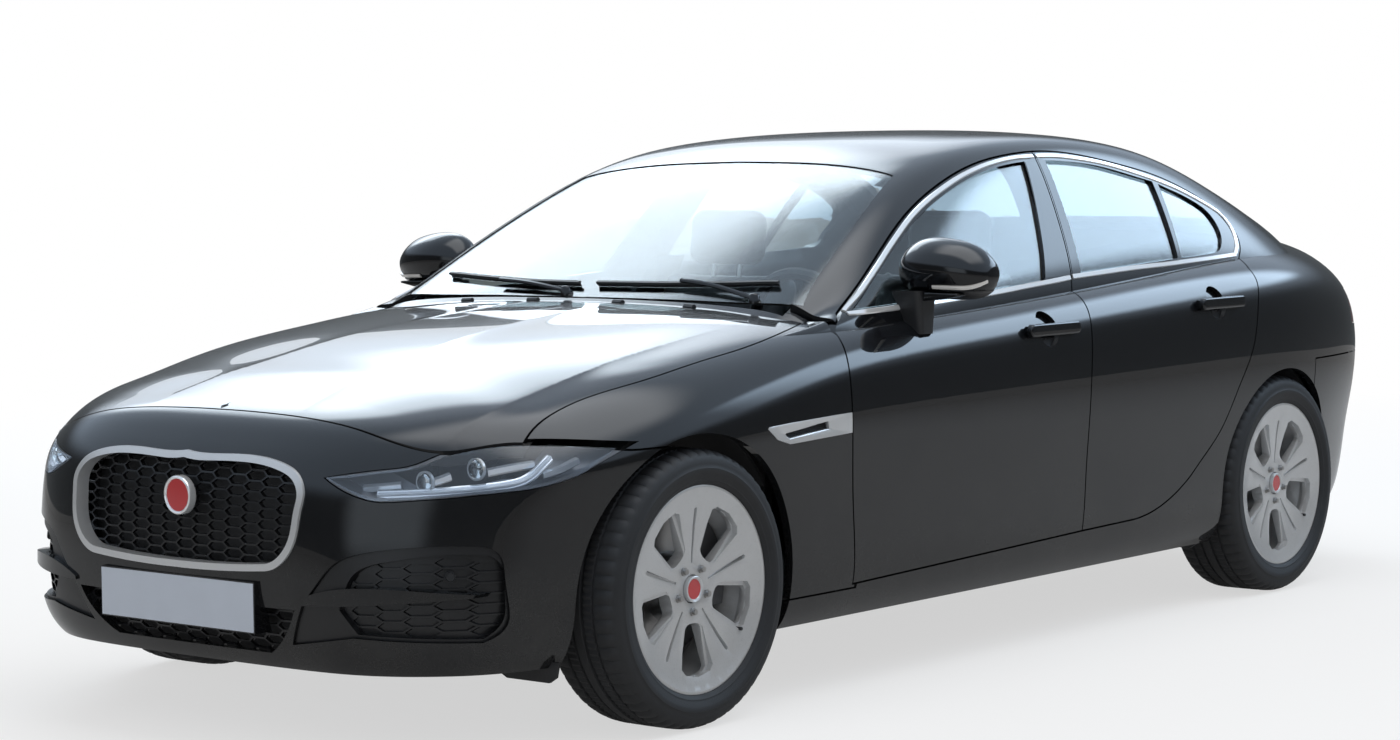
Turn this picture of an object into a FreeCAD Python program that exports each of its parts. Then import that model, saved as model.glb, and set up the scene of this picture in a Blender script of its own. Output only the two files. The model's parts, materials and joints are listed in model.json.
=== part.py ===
# A four-door saloon car with opening doors, bonnet and boot, steered front wheels and four turning wheels.
# Frame: +Z up, the nose points along -Y, the left side is +X, the origin lies on the ground under the middle.
import FreeCAD, Part
import Sketcher
import math
import os
import re
from FreeCAD import Vector

doc = FreeCAD.newDocument("Saloon")
sheet = doc.addObject("Spreadsheet::Sheet", "Dimensions")

dimensions = {
    # whole car
    "wheelbase": 2835, "frontOverhang": 818, "rearOverhang": 1025,
    "trackHalf": 801, "tyreRadius": 330, "tyreWidth": 225, "rimRadius": 229,
    "roofHeight": 1416, "bodyHalfWidth": 915, "underbodyHeight": 185,
    # panels
    "panelThickness": 22, "panelGap": 5, "doorThickness": 105, "archRadius": 366, "rearArchRadius": 354,
    "bootSillHeight": 640,
    # grille and intake mesh, door grips, number plates
    "cellPitch": 53, "cellHeight": 24, "cellBar": 4.5, "meshDepth": 10, "gripLength": 250, "gripHeight": 34,
    "plateWidth": 520, "plateHeight": 112,
    # wheels
    "spokePairs": 5, "wheelOffset": 101,
    # floor and running gear
    "floorHalfWidth": 742, "kingpinX": 720, "axleRadius": 20,
}
for row, (alias, value) in enumerate(dimensions.items(), start=1):
    sheet.set("A%d" % row, alias)
    sheet.set("B%d" % row, str(value))
    sheet.setAlias("B%d" % row, alias)
derived = {
    "noseY": "-(frontOverhang + wheelbase + rearOverhang) / 2", "frontAxleY": "noseY + frontOverhang",
    "rearAxleY": "frontAxleY + wheelbase", "tailY": "rearAxleY + rearOverhang",
}
for row, (alias, formula) in enumerate(derived.items(), start=len(dimensions) + 2):
    sheet.set("A%d" % row, alias)
    sheet.set("B%d" % row, "=" + formula)
    sheet.setAlias("B%d" % row, alias)
doc.recompute()


class Sizes:
    def __getattr__(self, alias):
        return float(sheet.get(alias))


dim = Sizes()
noseY, frontAxleY, rearAxleY, tailY = dim.noseY, dim.frontAxleY, dim.rearAxleY, dim.tailY


def clampedKnots(count, degree):
    spans = count - degree
    knots = [float(k) for k in range(spans + 1)]
    mults = [degree + 1] + [1] * (spans - 1) + [degree + 1]
    return knots, mults


def netSurface(rows, degree=3):
    surface = Part.BSplineSurface()
    knotsU, multsU = clampedKnots(len(rows), degree)
    knotsV, multsV = clampedKnots(len(rows[0]), degree)
    surface.buildFromPolesMultsKnots(rows, multsU, multsV, knotsU, knotsV, False, False, degree, degree)
    return surface


def netCurve(poles):
    curve = Part.BSplineCurve()
    knots, mults = clampedKnots(len(poles), 3)
    curve.buildFromPolesMultsKnots(poles, mults, knots, False, 3)
    return curve.toShape()


def halfSolidFromNet(rows):
    """Closed half body between a control net, the plane x = 0 and the flat plane of the net's first column."""
    first, last = rows[0], rows[-1]
    footFirst = Vector(first[-1].x, first[0].y, first[0].z)
    footLast = Vector(last[-1].x, last[0].y, last[0].z)
    faces = [netSurface(rows).toShape()]
    bottomEdges = [netCurve([row[0] for row in rows])]
    closing = Part.LineSegment(footLast, footFirst).toShape()
    bottomEdges.append(closing)
    middleEdges = [closing, netCurve([row[-1] for row in rows])]
    for row, foot in ((first, footFirst), (last, footLast)):
        end = netCurve(row)
        if row[0].x > 10:
            across = Part.LineSegment(row[0], foot).toShape()
            upright = Part.LineSegment(foot, row[-1]).toShape()
            faces.append(Part.Face(Part.Wire(Part.__sortEdges__([end, across, upright]))))
            bottomEdges.append(across)
            middleEdges.append(upright)
        else:
            middleEdges.append(end)
    faces.append(Part.Face(Part.Wire(Part.__sortEdges__(bottomEdges))))
    faces.append(Part.Face(Part.Wire(Part.__sortEdges__(middleEdges))))
    shell = Part.makeShell(faces)
    shell.sewShape()
    solid = Part.makeSolid(Part.Shell(shell.Faces))
    if solid.Volume < 0:
        solid.reverse()
    return solid


def lowerNet(inset=0.0):
    """Control net of the lower body: rows run from the nose to the tail, columns from the underside to the top."""
    t = inset
    middle = -0.05 * max(inset, 0)
    zb = dim.underbodyHeight - 0.05 * inset
    W = dim.bodyHalfWidth
    A, B, N, R = frontAxleY, rearAxleY, noseY, tailY
    # y, low width, mid width, widest, shoulder width, shoulder height, crown height
    stations = [
        (N + 500, 0.900, 0.930, 0.950, 0.870, 742, 850),
        (A - 70, 0.955, 0.972, 0.995, 0.905, 806, 905),
        (A + 250, 0.960, 0.980, 1.003, 0.920, 852, 935),
        (A + 620, 0.965, 0.978, 0.998, 0.935, 900, 968),
        (A + 1250, 0.970, 0.978, 0.998, 0.938, 925, 985),
        (B - 1000, 0.972, 0.980, 1.002, 0.938, 955, 1010),
        (B - 420, 0.972, 0.985, 1.012, 0.942, 985, 1060),
        (B, 0.965, 0.985, 1.018, 0.930, 1005, 1095),
        (B + 270, 0.930, 0.965, 0.995, 0.890, 1005, 1108),
        (R - 520, 0.870, 0.905, 0.955, 0.820, 998, 1108),
    ]

    def section(y, low, mid, wide, shoulder, zs, zt):
        zs -= t * 0.6
        zt -= t
        return [
            (W * low - 40 - t, y, zb), (W * low - t, y, zb + 45), (W * (low + mid) / 2 + 4 - t, y, 330),
            (W * mid - t, y, 480), (W * wide - t, y, 640), (W * wide - 2 - t, y, zs - 95),
            (W * shoulder - t, y, zs + 8), (W * shoulder * 0.80 - t * 0.6, y, zs + (zt - zs) * 0.62),
            (W * shoulder * 0.42 - t * 0.3, y, zt), (middle, y, zt),
        ]
    full = [section(*s) for s in stations]
    # y and z of the nose and tail on the centre line, one pair for each column
    noseProfile = [(N + 75, zb), (N + 48, zb + 30), (N + 12, 300), (N + 2, 430), (N + 6, 560), (N + 34, 655),
                   (N + 75, 705), (N + 118, 750), (N + 165, 768), (N + 190, 778)]
    tailProfile = [(R - 90, zb), (R - 60, zb + 60), (R - 12, 340), (R + 2, 480), (R - 4, 640), (R - 20, 780),
                   (R - 70, 930), (R - 85, 1010), (R - 84, 1070), (R - 88, 1084)]
    # for each row that wraps an end: the sideways share of the first full station, and the share of the way to it
    wrapNose = [(0.0, 0.0), (0.34, 0.006), (0.60, 0.085), (0.80, 0.38), (0.935, 0.70)]
    wrapTail = [(0.935, 0.66), (0.80, 0.34), (0.57, 0.06), (0.33, 0.0), (0.0, 0.0)]

    def wrapRow(share, back, profile, first, squarer):
        row = []
        for column, ((py, pz), (x, y, z)) in enumerate(zip(profile, first)):
            square = squarer * (0.16, 0.16, 0.13, 0.07, 0.02, 0, 0, 0, 0, 0)[column]
            part = share + (1 - share) * square if share > 0 else 0
            across = x * part if x * part > 0 else middle
            row.append((across, py + (y - py) * back * (1 - square * 1.6), pz + (z - pz) * min(1.0, back * 1.15)))
        return row
    noseProfile = [(y + t, z - (t if i > 5 else 0) * 0.7) for i, (y, z) in enumerate(noseProfile)]
    tailProfile = [(y - t, z - (t if i > 7 else 0) * 0.7) for i, (y, z) in enumerate(tailProfile)]
    rows = [wrapRow(s, b, noseProfile, full[0], 1) for s, b in wrapNose]
    rows += full
    rows += [wrapRow(s, b, tailProfile, full[-1], 0) for s, b in wrapTail]
    return [[Vector(*p) for p in row] for row in rows]


def cabinNet(inset=0.0):
    """Control net of the glasshouse: rows from the windscreen base to the rear window base, columns from belt to roof."""
    t = inset
    A, B = frontAxleY, rearAxleY
    H = dim.roofHeight + 1
    middle = -0.05 * max(inset, 0)
    zb = 640.0 - 0.05 * max(inset, 0)
    # y, half width at the foot, rail width, rail height, roof height at the middle
    stations = [
        (A + 420, 800, 690, 840, 850),
        (A + 640, 838, 740, 935, 985),
        (A + 860, 842, 705, 1060, 1110),
        (A + 1090, 845, 662, 1180, 1235),
        (A + 1330, 846, 626, 1285, 1345),
        (A + 1580, 846, 604, 1347, 1400),
        (A + 1900, 846, 596, 1370, H),
        (A + 2250, 846, 598, 1368, H),
        (B - 230, 846, 608, 1322, 1385),
        (B + 20, 848, 652, 1222, 1302),
        (B + 250, 846, 690, 1118, 1200),
        (B + 440, 812, 690, 1048, 1100),
        (B + 560, 720, 600, 960, 1020),
    ]
    rows = []
    for y, foot, rail, zr, zt in stations:
        zr -= t * 0.7
        zt -= t
        foot -= t
        rail -= t * 0.8
        side = (foot - rail) / max(zr - 920, 60)
        row = [(foot + 20, y, zb), (foot + 4, y, 920), (foot - (foot - rail) * 0.42, y, 920 + (zr - 920) * 0.50),
               (rail + 18, y, zr - 22), (rail - 42, y, zr + (zt - zr) * 0.42), (rail * 0.70, y, zt - (zt - zr) * 0.24),
               (rail * 0.36, y, zt), (middle, y, zt)]
        rows.append([Vector(*p) for p in row])
    return rows


halfSkins = {}


def skin(inset=0.0):
    """Left half of the whole car's outer volume, drawn in by the inset."""
    if inset not in halfSkins:
        lower = halfSolidFromNet(lowerNet(inset))
        upper = halfSolidFromNet(cabinNet(inset))
        halfSkins[inset] = lower.fuse(upper)
    return halfSkins[inset]


layers = {}


def layer(outer, inner):
    """The part of the left half between two insets."""
    if (outer, inner) not in layers:
        layers[outer, inner] = skin(outer).cut(skin(inner))
    return layers[outer, inner]


def localLayer(outer, inner, room):
    """The part of the lower body between two insets that lies inside a box."""
    return halfSolidFromNet(lowerNet(outer)).common(room).cut(halfSolidFromNet(lowerNet(inner)))


planes = {
    "YZ": (lambda a, b, c: Vector(c, a, b), Vector(1, 0, 0)),
    "XY": (lambda a, b, c: Vector(a, b, c), Vector(0, 0, 1)),
    "XZ": (lambda a, b, c: Vector(a, c, b), Vector(0, 1, 0)),
}


def grown(segments, distance):
    """The same outline with every point moved outward by the distance, square to its two neighbours."""
    points = [point for segment in segments for point in segment]
    count = len(points)
    area = sum(points[i - 1][0] * points[i][1] - points[i][0] * points[i - 1][1] for i in range(count))
    side = distance if area > 0 else -distance
    moved = []
    for i in range(count):
        before, here, after = points[i - 1], points[i], points[(i + 1) % count]
        ux, uy = here[0] - before[0], here[1] - before[1]
        vx, vy = after[0] - here[0], after[1] - here[1]
        lengthU, lengthV = math.hypot(ux, uy), math.hypot(vx, vy)
        ux, uy, vx, vy = ux / lengthU, uy / lengthU, vx / lengthV, vy / lengthV
        share = side / max(1 + ux * vx + uy * vy, 0.35)
        across = here[0] + (uy + vy) * share
        if here[0] == 0:
            across = min(across, 0.0)
        moved.append((across, here[1] - (ux + vx) * share))
    result = []
    for segment in segments:
        result.append(moved[:len(segment)])
        moved = moved[len(segment):]
    return result


def outlineFace(segments, plane, level):
    """Flat face inside joined segments: one further point makes a line, more make a smooth curve."""
    place = planes[plane][0]
    edges = []
    last = segments[-1][-1]
    for segment in segments:
        points = [place(a, b, level) for a, b in [last] + list(segment)]
        if len(points) == 2:
            edges.append(Part.LineSegment(points[0], points[1]).toShape())
        else:
            curve = Part.BSplineCurve()
            curve.interpolate(points)
            edges.append(curve.toShape())
        last = segment[-1]
    return Part.Face(Part.Wire(edges))


def prism(segments, plane, low, high, grow=0.0):
    if grow:
        segments = grown(segments, grow)
    return outlineFace(segments, plane, low).extrude(planes[plane][1] * (high - low))


def box(x0, x1, y0, y1, z0, z1):
    return Part.makeBox(x1 - x0, y1 - y0, z1 - z0, Vector(x0, y0, z0))


def mirrored(shape):
    return shape.mirror(Vector(0, 0, 0), Vector(1, 0, 0))


def bothSides(shape):
    half = shape.common(box(0, 1200, -2600, 2600, 0, 1600))
    return half.fuse(mirrored(half)).removeSplitter()


# Outlines. Side outlines are (y, z), plan outlines (x, y), end outlines (x, z).
frontDoorLine = [
    [(-894, 271)],
    [(-911, 501), (-928, 702), (-903, 858), (-856, 921)],
    [(-822, 940)],
    [(-600, 1050), (-350, 1183), (-134, 1266), (76, 1318), (274, 1342), (376, 1348)],
    [(263, 996)],
    [(220, 886), (191, 712), (185, 402), (175, 298)],
]
rearDoorLine = [
    [(175, 298)],
    [(185, 402), (191, 712), (220, 886), (263, 996)],
    [(376, 1348)],
    [(555, 1343), (817, 1307), (1000, 1272), (1167, 1216), (1290, 1154)],
    [(1302, 1092), (1252, 1030)],
    [(1200, 989)],
    [(1188, 960), (1147, 895), (1089, 757), (1016, 656), (915, 515), (848, 461), (764, 402)],
    [(659, 349), (556, 317), (454, 303)],
]
bothDoorsLine = [
    [(-894, 271)],
    [(-911, 501), (-928, 702), (-903, 858), (-856, 921)],
    [(-822, 940)],
    [(-600, 1050), (-350, 1183), (-134, 1266), (76, 1318), (274, 1342), (376, 1348), (555, 1343), (817, 1307),
     (1000, 1272), (1167, 1216), (1290, 1154)],
    [(1302, 1092), (1252, 1030)],
    [(1200, 989)],
    [(1188, 960), (1147, 895), (1089, 757), (1016, 656), (915, 515), (848, 461), (764, 402)],
    [(659, 349), (556, 317), (454, 303)],
    [(175, 298)],
]
frontWindowLine = [
    [(-590, 1035), (-345, 1160), (-130, 1241), (76, 1293), (240, 1315), (304, 1320)],
    [(125, 993)],
    [(-155, 976), (-500, 960), (-780, 946)],
]
rearWindowLine = [
    [(412, 1322)],
    [(555, 1317), (700, 1302), (817, 1281), (946, 1257)],
    [(874, 1030)],
    [(600, 1018), (319, 1006)],
]
quarterWindowLine = [
    [(977, 1249)],
    [(1070, 1220), (1151, 1189), (1200, 1152), (1206, 1110), (1180, 1070), (1120, 1041)],
    [(1000, 1034), (897, 1031)],
]
bonnetHalfLine = [
    [(0, -2188)],
    [(166, -2187), (455, -2178), (540, -2168), (641, -2122), (701, -2052), (757, -1972)],
    [(743, -1871), (745, -1777), (776, -1589), (785, -1367), (787, -1215), (772, -1059), (737, -905)],
    [(0, -905)],
]
fenderLine = [
    [(-2010, 704)],
    [(-1990, 704), (-1867, 695), (-1780, 681), (-1690, 676)],
    [(-1400, 676)],
    [(-1400, 263)],
    [(-880, 263)],
    [(-860, 1010)],
    [(-2010, 1010)],
]
lampLine = [
    [(495, 641), (558, 650), (617, 662), (648, 682), (686, 698), (726, 706), (758, 708), (804, 704), (872, 690)],
    [(859, 650), (845, 627), (822, 611), (753, 597), (693, 590), (627, 585), (562, 583), (528, 590), (435, 631)],
]
grilleHalfLine = [
    [(0, 674)],
    [(150, 672), (317, 658), (371, 632), (392, 594), (389, 560), (378, 489), (340, 436), (287, 416)],
    [(150, 408), (0, 406)],
]
intakeLine = [
    [(442, 405), (483, 446), (538, 467), (602, 478), (671, 483), (735, 481)],
    [(762, 468), (774, 415), (778, 350), (774, 300), (742, 264)],
    [(650, 268), (514, 276)],
    [(340, 248)],
    [(394, 352)],
]
intakeMeshLine = [
    [(530, 430), (592, 450), (682, 463), (750, 458)],
    [(764, 436), (768, 380), (764, 310), (738, 272)],
    [(650, 276), (520, 284)],
    [(482, 339)],
    [(503, 397)],
]
bladeLine = [
    [(500, 388), (640, 386), (742, 374)],
    [(738, 366)],
    [(655, 360), (547, 352), (378, 344)],
    [(378, 353)],
]
lowerCentreLine = [
    [(0, 332)],
    [(368, 332)],
    [(292, 240), (262, 222)],
    [(0, 222)],
]
ventLine = [
    [(-1273, 690)],
    [(-1100, 700), (-934, 705)],
    [(-931, 655)],
    [(-1060, 650), (-1186, 646)],
    [(-1235, 662)],
]
ventMeshLine = [
    [(-1205, 672)],
    [(-1030, 690)],
    [(-1027, 672)],
    [(-1190, 660)],
]
mirrorGlassLine = [
    [(838, 1052), (852, 1092), (905, 1108), (960, 1100), (1008, 1076), (1024, 1040), (1008, 1002), (930, 990),
     (842, 1010)],
]
windscreenHalfLine = [
    [(0, -896)],
    [(200, -894), (400, -889), (600, -872), (700, -846)],
    [(679, -789), (651, -664), (598, -434), (553, -240)],
    [(442, -226), (234, -217), (0, -213)],
]
roofHalfLine = [
    [(0, -206)],
    [(234, -210), (442, -219), (548, -232)],
    [(530, 60), (528, 400), (536, 760), (552, 1030)],
    [(420, 1042), (200, 1050), (0, 1052)],
]
rearWindowHalfLine = [
    [(0, 1059)],
    [(200, 1057), (420, 1049), (556, 1036)],
    [(592, 1180), (630, 1360), (650, 1520), (650, 1610)],
    [(500, 1650), (250, 1672), (0, 1678)],
]
bootHalfLine = [
    [(0, 1700)],
    [(250, 1694), (500, 1672), (640, 1640)],
    [(660, 1800), (655, 2000), (640, 2400)],
    [(0, 2400)],
]
tailLampLine = [
    [(430, 905)],
    [(600, 905), (800, 900), (900, 880)],
    [(900, 800)],
    [(800, 790), (600, 775), (430, 770)],
]

pillarUpLine = [
    [(190, 990)],
    [(325, 1340)],
    [(425, 1345)],
    [(320, 990)],
]
pillarLowLine = [
    [(110, 230)],
    [(130, 900), (190, 1040)],
    [(320, 1040)],
    [(270, 900), (250, 230)],
]

panel = dim.panelThickness
gap = dim.panelGap
outerShell = layer(0.0, panel)


def archway(axle, radius):
    """Round opening over a wheel, carried straight down below the axle."""
    drum = Part.makeCylinder(radius, 700, Vector(560, axle, dim.tyreRadius), Vector(1, 0, 0))
    return drum.fuse(box(560, 1260, axle - radius, axle + radius, 0, dim.tyreRadius))


arches = archway(frontAxleY + 6, dim.archRadius).fuse(archway(rearAxleY - 5, dim.rearArchRadius))
pierced = outerShell.cut(arches)

parts = {}


def sided(name, shape):
    parts[name + "_left"] = shape
    parts[name + "_right"] = mirrored(shape)


# doors
boxLayer = layer(panel - 2, dim.doorThickness)


def door(outline, windows, beltHeight):
    skinPart = pierced.common(prism(outline, "YZ", 560, 1100, -gap / 2))
    inner = boxLayer.common(prism(outline, "YZ", 300, 1100, -20)).common(box(702, 1100, -1200, 1500, 0, beltHeight))
    whole = skinPart.fuse(inner.cut(arches))
    for window in windows:
        whole = whole.cut(prism(window, "YZ", 300, 1100))
    return whole


def grip(y, z, surface):
    """Pull bar of a door on its two feet; the surface is the sideways place of the door skin behind it."""
    length, height = dim.gripLength, dim.gripHeight
    bar = Part.makeBox(16, length, height, Vector(surface + 10, y - length / 2, z - height / 2))
    corners = [e for e in bar.Edges if e.BoundBox.XLength > 15]
    bar = bar.makeFillet(height / 2 - 2, corners)
    front = [e for e in bar.Edges if e.BoundBox.XMin > surface + 25.9]
    bar = bar.makeFillet(6, front)
    for end in (-1, 1):
        middle = y + end * (length / 2 - 28)
        bar = bar.fuse(box(surface - 12, surface + 16, middle - 16, middle + 16, z - height / 3, z + height / 3))
    return bar


def cup(y, z):
    """Hollow behind a door's pull bar."""
    drum = Part.makeCylinder(48, 400, Vector(700, y, z), Vector(1, 0, 0))
    return drum.common(localLayer(-6.0, 12.7, box(700, 1000, y - 60, y + 60, z - 60, z + 60)))


glassLayer = layer(8.3, 12.7)
grooveLayer = layer(8.0, 13.0)


def pane(window):
    return glassLayer.common(prism(window, "YZ", 300, 1100, 9.0))


frontDoor = door(frontDoorLine, [frontWindowLine], 945)
rearDoor = door(rearDoorLine, [rearWindowLine, quarterWindowLine], 975)
frontPane = pane(frontWindowLine)
rearPanes = [pane(rearWindowLine), pane(quarterWindowLine)]
frontDoor = frontDoor.cut(grooveLayer.common(prism(frontWindowLine, "YZ", 300, 1100, 9.3)))
for window in (rearWindowLine, quarterWindowLine):
    rearDoor = rearDoor.cut(grooveLayer.common(prism(window, "YZ", 300, 1100, 9.3)))
frontDoor = frontDoor.cut(cup(0, 866)).fuse(grip(11, 866, 891))
rearDoor = rearDoor.cut(cup(902, 900)).fuse(grip(913, 900, 903))
sided("front_door", frontDoor)
sided("rear_door", rearDoor)
sided("front_door_glass", frontPane)
sided("rear_door_glass", Part.makeCompound(rearPanes))

# bonnet, wings and bumpers
bonnetHalf = pierced.common(prism(bonnetHalfLine, "XY", 600, 1300))
parts["bonnet"] = bothSides(bonnetHalf)
notBonnet = pierced.cut(prism(bonnetHalfLine, "XY", 600, 1300, gap))
doorHole = prism(bothDoorsLine, "YZ", 300, 1100, gap / 2)
lampHole = prism(lampLine, "XZ", -2400, -1600, gap / 2)
fenderZone = prism(fenderLine, "YZ", 300, 1100)
wing = notBonnet.common(fenderZone).cut(doorHole).cut(lampHole)
wing = wing.common(box(400, 1100, -2100, -886, 0, 1200)).cut(box(0, 745, -960, -800, 0, 1200))
wing = wing.cut(prism(ventMeshLine, "YZ", 800, 1000).common(localLayer(-6.0, 12.7, box(700, 1000, -1300, -900, 600, 750))))
parts["fenders"] = Part.makeCompound([wing, mirrored(wing)])
noseHalf = notBonnet.common(box(0, 1100, -2500, -1500, 0, 900)).cut(prism(fenderLine, "YZ", 300, 1100, gap)).cut(lampHole)
noseHalf = noseHalf.cut(prism(grilleHalfLine, "XZ", -2500, -2100)).cut(prism(intakeLine, "XZ", -2500, -1800))
noseHalf = noseHalf.cut(prism(lowerCentreLine, "XZ", -2500, -2100))
plateHalf = dim.plateWidth / 2
plateMiddle = 330
plateHolder = box(0, plateHalf + 3, noseY + 3, noseY + 80, plateMiddle - dim.plateHeight / 2 - 3,
                  plateMiddle + dim.plateHeight / 2 + 3)
intakeRoom = box(330, 800, -2450, -1850, 220, 500)
blade = localLayer(-6.0, panel, intakeRoom).common(prism(bladeLine, "XZ", -2500, -1900))
parts["front_bumper"] = bothSides(noseHalf.fuse(plateHolder.cut(skin(panel))).fuse(blade))
parts["front_plate"] = box(-plateHalf, plateHalf, noseY + 1.2, noseY + 2.7, plateMiddle - dim.plateHeight / 2,
                           plateMiddle + dim.plateHeight / 2)

# lamp bowls with their projector barrels
lampRoom = box(400, 900, -2400, -1700, 560, 730)
lampHollow = localLayer(-6.0, 45.0, lampRoom)
lampBack = localLayer(panel - 2, 70.0, lampRoom)
lampHalf = localLayer(2.0, 70.0, lampRoom).common(prism(lampLine, "XZ", -2400, -1600))
lampHalf = lampHalf.cut(lampHollow.common(prism(lampLine, "XZ", -2400, -1600, -7)))
for x, z in ((630, 622), (706, 648)):
    barrel = Part.makeCylinder(21, 800, Vector(x, -2400, z), Vector(0, 1, 0)).common(lampBack)
    throat = Part.makeCylinder(17, 800, Vector(x, -2400, z), Vector(0, 1, 0)).common(lampHollow)
    lampHalf = lampHalf.fuse(barrel.cut(throat))
lampHalf = lampHalf.cut(prism(bonnetHalfLine, "XY", 500, 1300, gap)).cut(prism(fenderLine, "YZ", 300, 1100, gap))
lampHalf = lampHalf.cut(Part.makeCylinder(406, 500, Vector(480, frontAxleY, dim.tyreRadius), Vector(1, 0, 0)))
lampHalf = max(lampHalf.Solids, key=lambda solid: solid.Volume)
parts["headlamps"] = Part.makeCompound([lampHalf, mirrored(lampHalf)])
grilleRoom = box(-30, 420, -2500, -2150, 390, 690)
grilleRing = localLayer(-6.0, 30.0, grilleRoom).common(prism(grilleHalfLine, "XZ", -2500, -2100))
grilleInside = prism(grilleHalfLine, "XZ", -2500, -2100, -16)
grilleRing = grilleRing.cut(grilleInside.fuse(grilleInside.translated(Vector(-20, 0, 0))))
parts["grille_frame"] = bothSides(grilleRing)


def meshCells(outline, bar):
    """Six-sided openings of the mesh on one end plane: wide cells in columns, each column half a cell higher."""
    pitch, high = dim.cellPitch, dim.cellHeight
    tip, side, half = pitch * 0.632 - bar * 0.58, pitch * 0.368 - bar * 0.29, (high - bar) / 2
    zone = outlineFace(outline, "XZ", -2500)
    cells = []
    for column in range(int(900 / pitch)):
        for row in range(int(180 / high), int(720 / high)):
            x, z = column * pitch, (row + 0.5 * (column % 2)) * high
            if zone.distToShape(Part.Vertex(x, -2500, z))[0] > 0.001:
                continue
            corners = [(x - tip, z), (x - side, z + half), (x + side, z + half), (x + tip, z), (x + side, z - half),
                       (x - side, z - half)]
            cells.append(Part.Face(Part.makePolygon([Vector(a, -2500, b) for a, b in corners + corners[:1]])))
    return Part.makeCompound(cells)


def openMesh(outline, depth, room):
    """Mesh whose cells go right through, at a depth below the body's surface."""
    leftHalf = outlineFace([[(0, 0)], [(900, 0)], [(900, 900)], [(0, 900)]], "XZ", -2500)
    plate = outlineFace(outline, "XZ", -2500).common(leftHalf)
    plate = plate.cut(meshCells(outline, dim.cellBar)).extrude(Vector(0, 400, 0))
    half = plate.common(localLayer(depth, depth + dim.meshDepth, room))
    half = max(half.Solids, key=lambda solid: solid.Volume)
    return half.fuse(mirrored(half))


lowerMeshLine = grown(lowerCentreLine, 8)
intakeEdge = prism(intakeLine, "XZ", -2500, -1890, -0.5).cut(prism(intakeMeshLine, "XZ", -2500, -1890))
intakeSheet = localLayer(panel + 0.3, panel + 10.3, intakeRoom).common(prism(intakeLine, "XZ", -2500, -1890, 10))
intakeCells = meshCells(grown(intakeMeshLine, -4), dim.cellBar).extrude(Vector(0, 560, 0))
intakeSheet = intakeSheet.cut(intakeCells.cut(halfSolidFromNet(lowerNet(28.0))))
intakeSheet = intakeSheet.fuse(localLayer(8.0, 28.0, intakeRoom).common(intakeEdge)).cut(blade)
parts["grille_mesh"] = Part.makeCompound([
    openMesh(grown(grilleHalfLine, -2), 30.3, grilleRoom),
    openMesh(lowerMeshLine, panel + 0.3, box(-30, 420, -2500, -2150, 200, 350)),
    intakeSheet, mirrored(intakeSheet),
])

# sides, roof and rear
windscreenHole = prism(windscreenHalfLine, "XY", 900, 1500)
backHole = prism(rearWindowHalfLine, "XY", 1000, 1500)
bootPlan = prism(bootHalfLine, "XY", 600, 1300)
bootZone = bootPlan.common(box(0, 1000, 1500, 2500, dim.bootSillHeight, 1300))
bootCut = prism(bootHalfLine, "XY", 600, 1300, gap).common(box(0, 1000, 1500, 2500, dim.bootSillHeight - gap, 1300))
tailLampHole = prism(tailLampLine, "XZ", 1900, 2500, gap / 2)
rearBumperZone = box(0, 1100, rearAxleY + 200, 2500, 0, 700)
roofHalf = outerShell.common(prism(roofHalfLine, "XY", 1200, 1500))
parts["roof_panel"] = bothSides(roofHalf)
bootHalf = outerShell.common(bootZone)
rearPlateMiddle = 722
plateSeat = box(0, plateHalf + 3, tailY - 60, tailY - 3, rearPlateMiddle - dim.plateHeight / 2 - 3,
                rearPlateMiddle + dim.plateHeight / 2 + 3)
bootHalf = bootHalf.fuse(plateSeat.cut(skin(panel)))
parts["boot_lid"] = bothSides(bootHalf)
parts["rear_plate"] = box(-plateHalf, plateHalf, tailY - 2.7, tailY - 1.2, rearPlateMiddle - dim.plateHeight / 2,
                          rearPlateMiddle + dim.plateHeight / 2)
tailHalf = localLayer(1.0, 45.0, box(0, 1100, 1900, 2500, 700, 950)).common(prism(tailLampLine, "XZ", 1900, 2500)).cut(bootCut)
parts["taillamps"] = Part.makeCompound([tailHalf, mirrored(tailHalf)])
rearSkin = pierced.common(rearBumperZone).cut(bootCut)
rearSkin = rearSkin.cut(Part.makeCylinder(44, 400, Vector(520, 2090, 305), Vector(0, 1, 0)))
parts["rear_bumper"] = bothSides(rearSkin)
side = pierced.common(box(0, 1100, frontAxleY + 300, 2500, 0, 1500))
side = side.cut(prism(fenderLine, "YZ", 300, 1100, gap)).cut(doorHole).cut(prism(bonnetHalfLine, "XY", 600, 1300, gap))
side = side.cut(box(0, 1100, rearAxleY + 200 - gap, 2500, 0, 700 + gap)).cut(bootCut).cut(tailLampHole)
side = side.cut(windscreenHole).cut(backHole).cut(prism(roofHalfLine, "XY", 1200, 1500, 0.3))
aroundDoors = prism(bothDoorsLine, "YZ", 300, 1100, 45)
ring = layer(panel - 2, dim.doorThickness + 5).common(aroundDoors.cut(prism(bothDoorsLine, "YZ", 300, 1100, gap)))
ring = ring.common(box(660, 1100, -1200, 1400, 0, 1000))
frameZone = box(0, 1100, -1200, 1400, 960, 1500)
frameStop = layer(panel - 2, 46.0).common(prism(bothDoorsLine, "YZ", 300, 1100, 22).cut(doorHole)).common(frameZone)
sealZone = box(0, 1100, -760, 1270, 1006, 1500)
sealPrism = prism(bothDoorsLine, "YZ", 300, 1100, 10).cut(prism(bothDoorsLine, "YZ", 300, 1100, -11))
frameStop = frameStop.fuse(layer(panel + 0.3, 46.0).common(sealPrism).common(sealZone))
frameStop = frameStop.cut(windscreenHole).cut(backHole)
roofEdge = prism(roofHalfLine, "XY", 1200, 1500, 1).cut(skin(panel + 0.3))
frameStop = frameStop.cut(roofEdge)
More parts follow.
